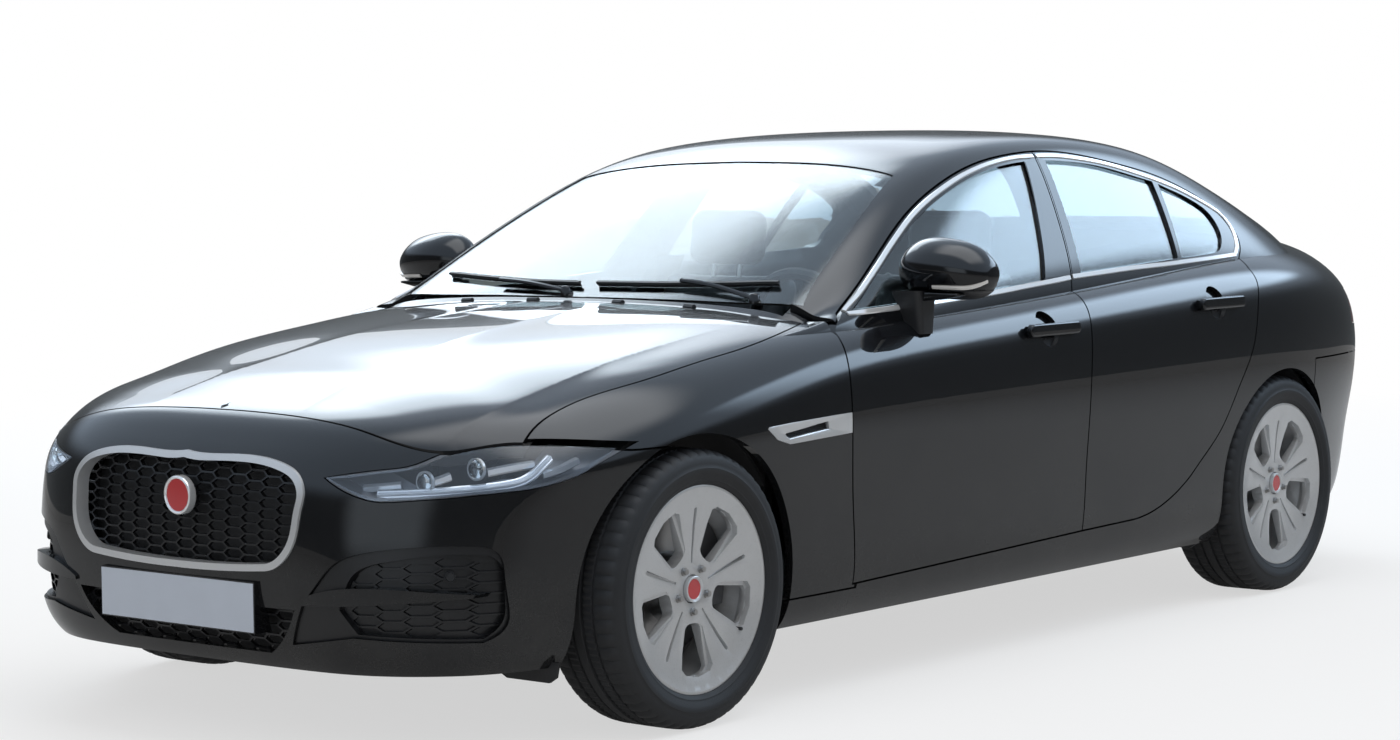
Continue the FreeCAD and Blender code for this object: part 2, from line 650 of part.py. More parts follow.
pillarUp = layer(panel + 0.3, 75.0).common(prism(pillarUpLine, "YZ", 300, 1100)).cut(roofEdge)
pillarLow = layer(dim.doorThickness + 5, dim.doorThickness + 35).common(prism(pillarLowLine, "YZ", 300, 1100))
pillarJoin = layer(75.0, dim.doorThickness + 35).common(box(300, 1100, 190, 330, 990, 1040))
lining = layer(dim.doorThickness + 5, dim.doorThickness + 35)
lining = lining.common(prism(bothDoorsLine, "YZ", 300, 1100, 45).cut(prism(bothDoorsLine, "YZ", 300, 1100, -30)))
lining = lining.common(box(660, 1100, -1200, 1400, 0, 1000))
frontEdge = box(0, 1100, -1400, -881, 0, 1100).cut(skin(panel + 0.3))
side = side.fuse(ring.cut(arches).cut(frontEdge)).fuse(lining.cut(arches)).fuse(frameStop)
side = side.fuse(pillarUp).fuse(pillarLow).fuse(pillarJoin).cut(box(0, 742, -1300, 1300, 0, 400))
side = Part.makeCompound([solid for solid in side.Solids if solid.Volume > 1e6])
parts["body_sides"] = Part.makeCompound([side, mirrored(side)])
windscreenHalf = layer(3.0, 8.0).common(prism(windscreenHalfLine, "XY", 900, 1500, -1))
backGlassHalf = layer(3.0, 8.0).common(prism(rearWindowHalfLine, "XY", 1000, 1500, -1))
parts["fixed_glass"] = Part.makeCompound([bothSides(windscreenHalf), bothSides(backGlassHalf)])

# mirrors: a rounded shell lofted outward over a foot on the door's shoulder
mirrorSections = []
for x, front, back, low, high in (
    (824, -540, -462, 1004, 1080), (850, -566, -450, 986, 1112), (900, -584, -446, 976, 1124),
    (960, -580, -446, 974, 1116), (1006, -560, -446, 980, 1096), (1030, -535, -452, 996, 1070),
    (1040, -512, -468, 1014, 1050),
):
    deep, high = back - front, high - low
    points = [(back, low + 0.2 * high), (back, low + 0.82 * high), (back - 0.22 * deep, low + high),
              (front + 0.36 * deep, low + 0.96 * high), (front, low + 0.58 * high), (front + 0.1 * deep, low + 0.2 * high),
              (front + 0.4 * deep, low), (back - 0.15 * deep, low)]
    curve = Part.BSplineCurve()
    curve.interpolate([Vector(x, y, z) for y, z in points], True)
    mirrorSections.append(Part.Wire(curve.toShape()))
mirrorShell = Part.makeLoft(mirrorSections, True)
mirrorShell = mirrorShell.cut(prism(mirrorGlassLine, "XZ", -456, -430))
mirrorFoot = box(790, 882, -600, -505, 880, 992)
mirrorFoot = mirrorFoot.makeFillet(18, [e for e in mirrorFoot.Edges if e.BoundBox.ZLength > 100])
sided("mirror", mirrorShell.fuse(mirrorFoot).cut(skin(0.0)))

# Floor, bulkhead, wheelhouses and boot floor
floorHalf = dim.floorHalfWidth
tunnelSpace = box(0, 130, -970, 1050, 200, 380)
deck = box(0, floorHalf, -930, 1010, 205, 230).cut(box(650, 800, 950, 1020, 200, 240))
deck = deck.fuse(box(0, 150, -930, 1010, 205, 400)).cut(tunnelSpace)
bulkhead = box(0, 659.7, -960, -930, 205, 860).cut(tunnelSpace)
seatWall = box(0, 640, 1010, 1040, 205, 915).cut(tunnelSpace)
bootFloor = box(0, 500, 1040, 2190, 420, 445)
rail = box(430, 490, -2180, -960, 490, 575)
beam = box(0, 500, -2215, -2180, 420, 575)


def wheelhouse(axle, x0, x1, radius, foot):
    """Curved cover over a wheel: the upper part of a drum that is closed on its inner side."""
    drum = Part.makeCylinder(radius, x1 - x0, Vector(x0, axle, dim.tyreRadius), Vector(1, 0, 0))
    hollow = Part.makeCylinder(radius - 8, x1 - x0, Vector(x0 + 8, axle, dim.tyreRadius), Vector(1, 0, 0))
    return drum.cut(hollow).common(box(x0 - 5, x1, axle - 500, axle + 500, foot, 900)).common(skin(panel + 0.3))


frontHouse = wheelhouse(frontAxleY, 505, 835, 400, dim.tyreRadius + 210)
rearHouse = wheelhouse(rearAxleY, 585, 845, 378, dim.tyreRadius + 110)
shelf = box(0, 600, 1040, 1640, 900, 915)
rearWall = box(0, 500, 2165, 2190, 445, 610).fuse(box(270, 330, 2165, 2190, 600, 720))
sideWall = box(490, 500, 1040, 2190, 445, 600)
lowerHalf = deck
for piece in (bulkhead, seatWall, bootFloor, rail, beam, shelf, rearWall, sideWall, frontHouse, rearHouse):
    lowerHalf = lowerHalf.fuse(piece)
link = box(485, 520, -1600, -1440, 540, 560).fuse(box(495, 600, 1200, 1420, 440, 470)).fuse(box(560, 600, 1040, 1250, 440, 915))
buffer = Part.makeCylinder(10, 200, Vector(300, 2180, 700), Vector(0, 1, 0))
buffer = buffer.fuse(Part.makeCylinder(12, 400, Vector(460, -1950, 565))).common(skin(panel + 0.3))
lowerHalf = lowerHalf.fuse(link).fuse(buffer)
parts["underbody"] = lowerHalf.fuse(mirrored(lowerHalf))

# cabin
dashLine = [[(-800, 700), (-560, 640)], [(-520, 700), (-500, 800), (-520, 860)], [(-640, 900), (-800, 925)]]
dash = prism(dashLine, "YZ", -655, 655)
console = box(-120, 120, -560, 180, 400.5, 560)
dash = dash.fuse(console).fuse(box(-120, 120, -640, -520, 540, 720))
steeringAt = Vector(370, -370, 850)
columnWay = Vector(0, math.sin(math.radians(68)), math.cos(math.radians(68)))
columnHole = Part.makeCylinder(22.1, 400, steeringAt - columnWay * 400, columnWay)
parts["dashboard"] = dash.cut(columnHole)


def cushion(x0, x1, y0, y1, z0, z1):
    """Box with all of its edges rounded."""
    block = box(x0, x1, y0, y1, z0, z1)
    return block.makeFillet(35, block.Edges)


def leaned(shape, y, z, angle):
    shape.rotate(Vector(0, y, z), Vector(1, 0, 0), -angle)
    return shape


frontSeat = cushion(152, 655, -330, 190, 300, 480)
frontSeat = frontSeat.fuse(leaned(cushion(162, 645, 75, 185, 470, 1000), 75, 480, 14))
frontSeat = frontSeat.fuse(cushion(268, 538, 200, 290, 1012, 1182)).fuse(box(340, 466, 225, 262, 940, 1060))
frontSeat = frontSeat.fuse(box(192, 615, -280, 150, 230.3, 340))
bench = cushion(-575, 575, 560, 1000, 260, 480)
bench = bench.fuse(leaned(cushion(-575, 575, 880, 980, 470, 970), 880, 470, 8))
bench = bench.cut(box(-700, 700, 1009.7, 1200, 0, 1200)).cut(box(-155, 155, 500, 1100, 200, 400.3))
bench = bench.fuse(box(-560, -200, 600, 960, 230.3, 300)).fuse(box(200, 560, 600, 960, 230.3, 300))
parts["seats"] = Part.makeCompound([frontSeat, mirrored(frontSeat), bench])


# Engine, exhaust and running gear, each made of solids that take their sizes from the sheet
def bound(text):
    """An expression over the sheet, written with the bare names of its sizes."""
    return re.sub(r"[a-z]+[A-Z]\w*", r"Dimensions.\g<0>", str(text))


def start(item, place):
    for axis, value in zip("xyz", place):
        item.setExpression("Placement.Base.%s" % axis, bound(value))
    return item


def block(name, x, y, z):
    item = doc.addObject("Part::Box", name)
    for edge, (low, high) in zip(("Length", "Width", "Height"), (x, y, z)):
        item.setExpression(edge, bound("(%s) - (%s)" % (high, low)))
    return start(item, (x[0], y[0], z[0]))


def rod(name, along, place, length, radius):
    item = doc.addObject("Part::Cylinder", name)
    turns = {"x": FreeCAD.Rotation(Vector(0, 1, 0), 90), "y": FreeCAD.Rotation(Vector(1, 0, 0), -90),
             "z": FreeCAD.Rotation()}
    item.Placement = FreeCAD.Placement(Vector(), turns[along])
    item.setExpression("Height", bound(length))
    item.setExpression("Radius", bound(radius))
    return start(item, place)


def joined(name, items):
    item = doc.addObject("Part::MultiFuse", name)
    item.Shapes = items
    return item


def removed(name, base, tool):
    item = doc.addObject("Part::Cut", name)
    item.Base, item.Tool = base, tool
    return item


def kept(name, items):
    item = doc.addObject("Part::MultiCommon", name)
    item.Shapes = items
    return item


def twin(name, source):
    item = doc.addObject("Part::Mirroring", name)
    item.Source, item.Normal = source, Vector(1, 0, 0)
    return item


engine = joined("engine_block", [
    block("EngineMain", (-230, 230), ("frontAxleY - 359", "frontAxleY + 341"), (330, 760)),
    block("Gearbox", (-90, 90), ("frontAxleY + 340", "frontAxleY + 551"), (300, 480)),
    block("EngineArms", (-399.7, 399.7), ("frontAxleY - 39", "frontAxleY + 21"), (430, 469)),
])
tailHalf = joined("TailPipe", [
    rod("TailPipeEnd", "y", (520, "rearAxleY + 761", 305), 230, 36),
    block("TailPipeBend", (400, 556), ("rearAxleY + 726", "rearAxleY + 766"), (275, 335)),
    block("SilencerHanger", (300, 330), ("rearAxleY + 586", "rearAxleY + 626"), (380, 420)),
])
exhaust = joined("exhaust", [
    rod("FrontPipe", "y", (0, "frontAxleY + 591", 290), "rearAxleY - frontAxleY - 55", 32),
    block("Silencer", (-420, 420), ("rearAxleY + 486", "rearAxleY + 766"), (225, 385)),
    tailHalf, twin("TailPipeRight", tailHalf),
])


def caliper(name, axle, low, high, outer, inner, foot, top):
    """Brake caliper: a piece of a thick ring with a slot for the disc."""
    y = (axle + low, axle + high)
    ring = removed(name + "Ring", rod(name + "Outer", "x", (746, axle, "tyreRadius"), 72, outer),
                   rod(name + "Inner", "x", (740, axle, "tyreRadius"), 90, inner))
    piece = kept(name + "Piece", [ring, block(name + "Room", (700, 900), y, (foot, top))])
    return removed(name, piece, rod(name + "Slot", "x", (771, axle, "tyreRadius"), 36, outer - 18))


frontHalf = joined("FrontAxleHalf", [
    block("FrontCross", (0, 340), ("frontAxleY - 90", "frontAxleY + 90"), (160, 250)),
    block("Tower", (400, 429.7), ("frontAxleY - 110", "frontAxleY + 110"), (160, 480)),
    block("TowerFoot", (330, 430), ("frontAxleY - 90", "frontAxleY + 90"), (160, 200)),
    block("LowerArm", (400, "kingpinX + 14"), ("frontAxleY - 16", "frontAxleY + 16"), (168, 184)),
    block("LowerArmRoot", (400, 500), ("frontAxleY - 100", "frontAxleY + 100"), (168, 184)),
    block("UpperArm", (400, "kingpinX + 14"), ("frontAxleY - 16", "frontAxleY + 16"), (470, 484)),
    block("UpperArmRoot", (400, 480), ("frontAxleY - 80", "frontAxleY + 80"), (470, 490)),
    rod("PinLow", "z", ("kingpinX", "frontAxleY", 168), 50, 11),
    rod("PinHigh", "z", ("kingpinX", "frontAxleY", 434), 50, 11),
])
rearCross = removed("RearCrossOpen", block("RearCross", (0, 400), ("rearAxleY - 80", "rearAxleY + 80"), (238, 390)),
                    rod("PipeSpace", "y", (0, "rearAxleY - 100", 290), 200, 40))
rearHalf = joined("RearAxleHalf", [
    rearCross, block("RearMount", (320, 380), ("rearAxleY - 60", "rearAxleY + 60"), (380, 419.7)),
    block("RearArm", (380, 730), ("rearAxleY - 30", "rearAxleY + 30"), (262, 290)),
    block("RearHub", (700, 740), ("rearAxleY - 70", "rearAxleY + 70"), (250, 410)),
    rod("RearShaft", "x", (390, "rearAxleY", "tyreRadius"), 330, 16),
    rod("RearAxlePin", "x", (735, "rearAxleY", "tyreRadius"), 80, "axleRadius"),
    caliper("RearCaliper", "rearAxleY", " - 200", " - 60", 188, 105, "tyreRadius - 30", "tyreRadius + 170"),
    block("RearCaliperArm", (730, 752), ("rearAxleY - 130", "rearAxleY"), ("tyreRadius - 20", "tyreRadius + 40")),
])
suspension = doc.addObject("Part::Compound", "suspension")
suspension.Links = [joined("FrontAxle", [frontHalf, twin("FrontAxleRight", frontHalf)]),
                    joined("RearAxle", [rearHalf, twin("RearAxleRight", rearHalf)])]
knuckleSolid = joined("KnuckleSolid", [
    block("KnucklePost", ("kingpinX - 22", "kingpinX + 22"), ("frontAxleY - 26", "frontAxleY + 26"), (186, 468)),
    rod("KnuckleBoss", "x", ("kingpinX", "frontAxleY", "tyreRadius"), 40, 52),
    rod("FrontAxlePin", "x", ("kingpinX", "frontAxleY", "tyreRadius"), "825 - kingpinX", "axleRadius"),
    caliper("FrontCaliper", "frontAxleY", " + 60", " + 200", 194, 112, "tyreRadius - 60", "tyreRadius + 150"),
    block("FrontCaliperArm", (728, 752), ("frontAxleY", "frontAxleY + 130"), ("tyreRadius - 30", "tyreRadius + 40")),
])
pinHoles = joined("PinHoles", [rod("PinHoleLow", "z", ("kingpinX", "frontAxleY", 160), 60, 11.08),
                               rod("PinHoleHigh", "z", ("kingpinX", "frontAxleY", 432), 68, 11.08)])
knuckle = removed("knuckle_left", knuckleSolid, pinHoles)
boundParts = [engine, exhaust, suspension, knuckle, twin("knuckle_right", knuckle)]


def size(alias, plus=0.0, times=1.0):
    """A length bound to the sheet: its value now and the expression for it."""
    return getattr(dim, alias) * times + plus, "Dimensions.%s * %g + %g" % (alias, times, plus)


def originPlane(body, role):
    return next(feature for feature in body.Origin.OriginFeatures if feature.Role == role)


def profile(body, name, role, corners, offset=0.0):
    """Closed sketch of straight lines whose corners are placed from the sheet or by plain numbers."""
    sketch = body.newObject("Sketcher::SketchObject", name)
    sketch.AttachmentSupport = [(originPlane(body, role), "")]
    sketch.MapMode = "FlatFace"
    if offset:
        sketch.AttachmentOffset = FreeCAD.Placement(Vector(0, 0, offset), FreeCAD.Rotation())
    values = [tuple(c[0] if isinstance(c, tuple) else c for c in corner) for corner in corners]
    count = len(values)
    for i in range(count):
        start, end = values[i], values[(i + 1) % count]
        sketch.addGeometry(Part.LineSegment(Vector(start[0], start[1], 0), Vector(end[0], end[1], 0)), False)
    for i in range(count):
        sketch.addConstraint(Sketcher.Constraint("Coincident", i, 2, (i + 1) % count, 1))
    for i, corner in enumerate(corners):
        for kind, length, value in zip(("DistanceX", "DistanceY"), corner, values[i]):
            number = sketch.addConstraint(Sketcher.Constraint(kind, -1, 1, i, 1, value))
            if isinstance(length, tuple):
                sketch.setExpression("Constraints[%d]" % number, length[1])
    return sketch


def turned(body, sketch, name):
    feature = body.newObject("PartDesign::Revolution", name)
    feature.Profile = sketch
    feature.ReferenceAxis = (sketch, ["H_Axis"])
    feature.Angle = 360
    return feature


def patterned(body, feature, name):
    pattern = body.newObject("PartDesign::PolarPattern", name)
    pattern.Originals = [feature]
    pattern.Axis = (next(f for f in body.Origin.OriginFeatures if f.Role == "X_Axis"), [""])
    pattern.Angle = 360
    pattern.Occurrences = 5
    pattern.setExpression("Occurrences", "Dimensions.spokePairs")
    body.Tip = pattern
    return pattern


def polar(radius, degrees):
    return radius * math.cos(math.radians(degrees)), radius * math.sin(math.radians(degrees))


def place(body, side, axle, inner):
    """Sets a turned body on its axle: its own X axis points outward from the inner face."""
    sign = 1 if side == "left" else -1
    axleY = frontAxleY if axle == "front" else rearAxleY
    turn = FreeCAD.Rotation(Vector(0, 0, 1), 0 if side == "left" else 180)
    body.Placement = FreeCAD.Placement(Vector(sign * inner, axleY, dim.tyreRadius), turn)


for axle in ("front", "rear"):
    for side in ("left", "right"):
        where = "_%s_%s" % (axle, side)
        tyre = doc.addObject("PartDesign::Body", "tyre" + where)
        section = [
            (12, size("rimRadius", 17.3)), (2, 282), (10, 316), (34, size("tyreRadius")),
            (size("tyreWidth", -34), size("tyreRadius")), (size("tyreWidth", -10), 316), (size("tyreWidth"), 282),
            (size("tyreWidth", -12), size("rimRadius", 17.3)),
        ]
        turned(tyre, profile(tyre, "TyreSection" + where, "XY_Plane", section), "TyreRing" + where)
        place(tyre, side, axle, dim.trackHalf - dim.tyreWidth / 2)
        rim = doc.addObject("PartDesign::Body", "rim" + where)
        section = [
            (1, size("rimRadius", 17)), (9, size("rimRadius", 17)), (11, size("rimRadius")), (42, size("rimRadius")),
            (70, 206), (110, 206), (150, size("rimRadius")), (190, size("rimRadius")), (193, size("rimRadius", 17)),
            (201, size("rimRadius", 17)), (202, 240), (195, 224), (183, 150), (176, 80), (176, 34), (137, 34),
            (137, 78), (150, 95), (166, 211), (150, 214), (110, 198), (70, 198), (40, 220), (6, 221), (1, 238),
        ]
        turned(rim, profile(rim, "RimSection" + where, "XY_Plane", section), "RimTurned" + where)
        window = [polar(96, 37.2), polar(87, 40), polar(82, 47), polar(82, 61), polar(87, 68), polar(96, 70.8),
                  polar(194, 68), polar(201, 65), polar(205, 59), polar(205, 49), polar(201, 43), polar(194, 40)]
        ledge = [polar(98, 33.5), polar(86, 41), polar(80, 54), polar(86, 67), polar(98, 74.5), polar(192, 71.5),
                 polar(203, 67), polar(207, 54), polar(203, 41), polar(192, 36.5)]
        groove = [polar(62, 15.6), polar(62, 20.4), polar(190, 19.6), polar(194, 18), polar(190, 16.4)]
        for name, corners, depth in (("Window", window, 85), ("Ledge", ledge, 39), ("Groove", groove, 43)):
            pocket = rim.newObject("PartDesign::Pocket", name + where)
            pocket.Profile = profile(rim, name + "Section" + where, "YZ_Plane", corners, 215.0)
            pocket.Length = depth
            patterned(rim, pocket, name + "s" + where)
        place(rim, side, axle, dim.trackHalf - dim.wheelOffset)
        disc = doc.addObject("PartDesign::Body", "brake_disc" + where)
        section = [
            (1, size("axleRadius", 0.08)), (1, 60), (2, 161), (25, 161), (25, 84), (59.7, 80), (59.7, size("axleRadius", 0.08)),
        ]
        turned(disc, profile(disc, "DiscSection" + where, "XY_Plane", section), "DiscTurned" + where)
        place(disc, side, axle, 777)
        boundParts += [tyre, rim, disc]

# steering wheel on its column, turned about its own X axis
steering = doc.addObject("PartDesign::Body", "steering_wheel")
section = [(-150, 0), (-150, 22), (-30, 22), (-30, 60), (10, 60), (10, 0)]
turned(steering, profile(steering, "ColumnSection", "XY_Plane", section), "Column")
arms = steering.newObject("PartDesign::Pad", "Arms")
corners = [(-180, -18), (180, -18), (180, 18), (18, 18), (18, 180), (-18, 180), (-18, 18), (-180, 18)]
arms.Profile = profile(steering, "ArmOutline", "YZ_Plane", corners, -14.0)
arms.Length = 14
section = [(-16, 178), (-7, 169), (7, 169), (16, 178), (16, 192), (7, 201), (-7, 201), (-16, 192)]
turned(steering, profile(steering, "HandRingSection", "XY_Plane", section), "HandRing")
downWay = Vector(0, columnWay.z, -columnWay.y)
steering.Placement = FreeCAD.Placement(steeringAt, FreeCAD.Rotation(columnWay, Vector(1, 0, 0), downWay, "XYZ"))
boundParts.append(steering)
doc.recompute()
for item in boundParts:
    parts[item.Name] = item.Shape

for name, shape in parts.items():
    if name in [item.Name for item in boundParts]:
        continue
    feature = doc.addObject("Part::Feature", name)
    feature.Shape = shape
    feature.Label = name
doc.recompute()

faults = [item.Name for item in doc.Objects if "Invalid" in item.State or "Error" in item.State]
for name in parts:
    shape = doc.getObject(name).Shape
    if shape.isNull() or not shape.isValid():
        faults.append(name)
if faults:
    raise SystemExit("faulty objects: %s" % ", ".join(faults))
os.makedirs("parts", exist_ok=True)
for name in parts:
    item = doc.getObject(name)
    item.Shape.exportStep("parts/%s.step" % name)
    print("%-26s solids %d faces %d volume %.0f cm3" % (name, len(item.Shape.Solids), len(item.Shape.Faces), item.Shape.Volume / 1e3))
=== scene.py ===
import json
import math
import bpy
import bmesh
import numpy as np
from mathutils import Matrix, Vector, kdtree
from mathutils.bvhtree import BVHTree


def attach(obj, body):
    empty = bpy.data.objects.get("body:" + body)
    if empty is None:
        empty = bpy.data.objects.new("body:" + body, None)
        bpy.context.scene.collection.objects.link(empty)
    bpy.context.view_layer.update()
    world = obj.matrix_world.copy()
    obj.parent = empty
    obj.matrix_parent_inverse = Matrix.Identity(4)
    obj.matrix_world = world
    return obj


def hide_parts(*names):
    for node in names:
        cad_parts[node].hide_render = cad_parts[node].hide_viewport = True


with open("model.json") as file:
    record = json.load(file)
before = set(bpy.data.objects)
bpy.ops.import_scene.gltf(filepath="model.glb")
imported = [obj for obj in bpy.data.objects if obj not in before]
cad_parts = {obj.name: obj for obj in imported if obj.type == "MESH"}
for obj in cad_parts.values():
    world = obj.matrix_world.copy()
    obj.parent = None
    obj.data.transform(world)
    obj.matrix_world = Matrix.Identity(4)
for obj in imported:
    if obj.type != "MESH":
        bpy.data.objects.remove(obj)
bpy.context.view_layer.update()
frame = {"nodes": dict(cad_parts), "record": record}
nodes = frame["nodes"]
bodyOfNode = {n: body for body, names in frame["record"]["behaviour"]["bodies"].items() for n in names}
print("frame loaded:", len(nodes), "nodes")

# the car's main sizes, in metres: nose to -Y, left side to +X
car = {
    "noseY": -2.339, "frontAxleY": -1.521, "rearAxleY": 1.314, "tailY": 2.339,
    "bodyHalfWidth": 0.915, "underbodyHeight": 0.185,
    "tyreRadius": 0.330, "trackHalf": 0.801, "tyreWidth": 0.225,
}


# The smooth skin of the car: two nets of control points, as the solids have them


def lowerNet():
    halfWidth, zb = car["bodyHalfWidth"], car["underbodyHeight"]
    a, b, nose, tail = car["frontAxleY"], car["rearAxleY"], car["noseY"], car["tailY"]
    # y, low width, mid width, widest, shoulder width, shoulder height, crown height
    stations = [
        (nose + 0.500, 0.900, 0.930, 0.950, 0.870, 0.742, 0.850),
        (a - 0.070, 0.955, 0.972, 0.995, 0.905, 0.806, 0.905),
        (a + 0.250, 0.960, 0.980, 1.003, 0.920, 0.852, 0.935),
        (a + 0.620, 0.965, 0.978, 0.998, 0.935, 0.900, 0.968),
        (a + 1.250, 0.970, 0.978, 0.998, 0.938, 0.925, 0.985),
        (b - 1.000, 0.972, 0.980, 1.002, 0.938, 0.955, 1.010),
        (b - 0.420, 0.972, 0.985, 1.012, 0.942, 0.985, 1.060),
        (b, 0.965, 0.985, 1.018, 0.930, 1.005, 1.095),
        (b + 0.270, 0.930, 0.965, 0.995, 0.890, 1.005, 1.108),
        (tail - 0.520, 0.870, 0.905, 0.955, 0.820, 0.998, 1.108),
    ]
    full = []
    for y, low, mid, wide, shoulder, zs, zt in stations:
        full.append([
            (halfWidth * low - 0.040, y, zb), (halfWidth * low, y, zb + 0.045),
            (halfWidth * (low + mid) / 2 + 0.004, y, 0.330), (halfWidth * mid, y, 0.480),
            (halfWidth * wide, y, 0.640),
            (halfWidth * wide - 0.002, y, zs - 0.095), (halfWidth * shoulder, y, zs + 0.008),
            (halfWidth * shoulder * 0.80, y, zs + (zt - zs) * 0.62), (halfWidth * shoulder * 0.42, y, zt),
            (0, y, zt),
        ])
    noseProfile = [
        (nose + 0.075, zb), (nose + 0.048, zb + 0.030), (nose + 0.012, 0.300), (nose + 0.002, 0.430),
        (nose + 0.006, 0.560), (nose + 0.034, 0.655), (nose + 0.075, 0.705), (nose + 0.118, 0.750),
        (nose + 0.165, 0.768), (nose + 0.190, 0.778),
    ]
    tailProfile = [
        (tail - 0.090, zb), (tail - 0.060, zb + 0.060), (tail - 0.012, 0.340), (tail + 0.002, 0.480),
        (tail - 0.004, 0.640), (tail - 0.020, 0.780), (tail - 0.070, 0.930), (tail - 0.085, 1.010),
        (tail - 0.084, 1.070), (tail - 0.088, 1.084),
    ]

    chinSquareness = (0.16, 0.16, 0.13, 0.07, 0.02, 0, 0, 0, 0, 0)

    def wrapped(profile, first, share, back, squarer):
        # a row between the profile at x = 0 and the first section
        row = []
        for (py, pz), (x, y, z), squareness in zip(profile, first, chinSquareness):
            square = squarer * squareness
            part = share + (1 - share) * square if share > 0 else 0
            ahead = py + (y - py) * back * (1 - square * 1.6)
            row.append((x * part, ahead, pz + (z - pz) * min(1.0, back * 1.15)))
        return row
    noseWraps = [(0, 0), (0.34, 0.006), (0.60, 0.085), (0.80, 0.38), (0.935, 0.70)]
    tailWraps = [(0.935, 0.66), (0.80, 0.34), (0.57, 0.06), (0.33, 0), (0, 0)]
    rows = [wrapped(noseProfile, full[0], s, k, 1) for s, k in noseWraps]
    rows += full
    rows += [wrapped(tailProfile, full[-1], s, k, 0) for s, k in tailWraps]
    return np.array(rows)


def cabinNet():
    a, b = car["frontAxleY"], car["rearAxleY"]
    # y, half width at the foot, rail width, rail height, roof height at the middle
    stations = [
        (a + 0.420, 0.800, 0.690, 0.840, 0.850), (a + 0.640, 0.838, 0.740, 0.935, 0.985),
        (a + 0.860, 0.842, 0.705, 1.060, 1.110), (a + 1.090, 0.845, 0.662, 1.180, 1.235),
        (a + 1.330, 0.846, 0.626, 1.285, 1.345), (a + 1.580, 0.846, 0.604, 1.347, 1.400),
        (a + 1.900, 0.846, 0.596, 1.370, 1.417), (a + 2.250, 0.846, 0.598, 1.368, 1.417),
        (b - 0.230, 0.846, 0.608, 1.322, 1.385), (b + 0.020, 0.848, 0.652, 1.222, 1.302),
        (b + 0.250, 0.846, 0.690, 1.118, 1.200), (b + 0.440, 0.812, 0.690, 1.048, 1.100),
        (b + 0.560, 0.720, 0.600, 0.960, 1.020),
    ]
    rows = []
    for y, foot, rail, zr, zt in stations:
        rows.append([
            (foot + 0.020, y, 0.640), (foot + 0.004, y, 0.920),
            (foot - (foot - rail) * 0.42, y, 0.920 + (zr - 0.920) * 0.50), (rail + 0.018, y, zr - 0.022),
            (rail - 0.042, y, zr + (zt - zr) * 0.42), (rail * 0.70, y, zt - (zt - zr) * 0.24),
            (rail * 0.36, y, zt), (0, y, zt),
        ])
    return np.array(rows)


def basis(count, values):  # cubic clamped B-spline weights and their slopes, values from 0 to 1
    spans = count - 3
    t = np.clip(np.asarray(values), 0, 1 - 1e-9) * spans
    knots = np.concatenate([[0.0] * 3, np.arange(spans + 1), [spans] * 3])
    weights = np.zeros((len(t), count + 3))
    weights[np.arange(len(t)), np.floor(t).astype(int) + 3] = 1
    for degree in (1, 2, 3):
        fresh = np.zeros((len(t), count + 3 - degree))
        slope = np.zeros_like(fresh)
        for i in range(count + 3 - degree):
            left, right = knots[i + degree] - knots[i], knots[i + degree + 1] - knots[i + 1]
            if left > 0:
                fresh[:, i] += (t - knots[i]) / left * weights[:, i]
                slope[:, i] += degree / left * weights[:, i]
            if right > 0:
                fresh[:, i] += (knots[i + degree + 1] - t) / right * weights[:, i + 1]
                slope[:, i] -= degree / right * weights[:, i + 1]
        weights, slopes = fresh, slope
    return weights, slopes * spans


# how the nearest place is sought, and the line in the body that outward normals point away from
skinSearch = {"rounds": 5, "step": 0.05, "lineHalf": 1.6, "lineHeight": 0.6}


class Surface:
    def __init__(self, net, across, along):
        self.net, self.across, self.along = net, across, along
        u, v = np.meshgrid(np.linspace(0, 1, along), np.linspace(0, 1, across), indexing="ij")
        self.samples = np.stack([u.ravel(), v.ravel()], 1)
        points = self.at(self.samples)[0]
        self.tree = kdtree.KDTree(len(points))
        for i, p in enumerate(points):
            self.tree.insert(p, i)
        self.tree.balance()

    def at(self, uv):
        wu, su = basis(self.net.shape[0], uv[:, 0])
        wv, sv = basis(self.net.shape[1], uv[:, 1])
        p = np.einsum("ni,nj,ijk->nk", wu, wv, self.net, optimize=True)
        du = np.einsum("ni,nj,ijk->nk", su, wv, self.net, optimize=True)
        dv = np.einsum("ni,nj,ijk->nk", wu, sv, self.net, optimize=True)
        return p, du, dv

    def nearest(self, points):  # closest points, their outward normals and the distances, on either side
        side = np.where(points[:, :1] < 0, -1.0, 1.0) * np.array([[1.0, 0, 0]]) + np.array([[0, 1.0, 1.0]])
        points = points * side
        uv = self.samples[[self.tree.find(p)[1] for p in points]]
        for _ in range(skinSearch["rounds"]):
            p, du, dv = self.at(uv)
            r = points - p
            a, b, c = (du * du).sum(1), (du * dv).sum(1), (dv * dv).sum(1)
            d, e = (du * r).sum(1), (dv * r).sum(1)
            det = np.maximum(a * c - b * b, 1e-12)
            move = np.stack([(c * d - b * e) / det, (a * e - b * d) / det], 1)
            uv = np.clip(uv + np.clip(move, -skinSearch["step"], skinSearch["step"]), 0, 1)
        p, du, dv = self.at(uv)
        n = np.cross(du, dv)
        n /= np.maximum(np.linalg.norm(n, axis=1, keepdims=True), 1e-12)
        middle = np.zeros_like(points)
        middle[:, 1] = np.clip(points[:, 1], -skinSearch["lineHalf"], skinSearch["lineHalf"])
        middle[:, 2] = skinSearch["lineHeight"]
        n *= np.where(((points - middle) * n).sum(1)[:, None] < 0, -1, 1)
        return p * side, n * side, np.linalg.norm(points - p, axis=1)


lowerSkin = Surface(lowerNet(), 90, 260)
cabinSkin = Surface(cabinNet(), 80, 150)
print("skin surfaces ready")


# Node groups that several finishes share


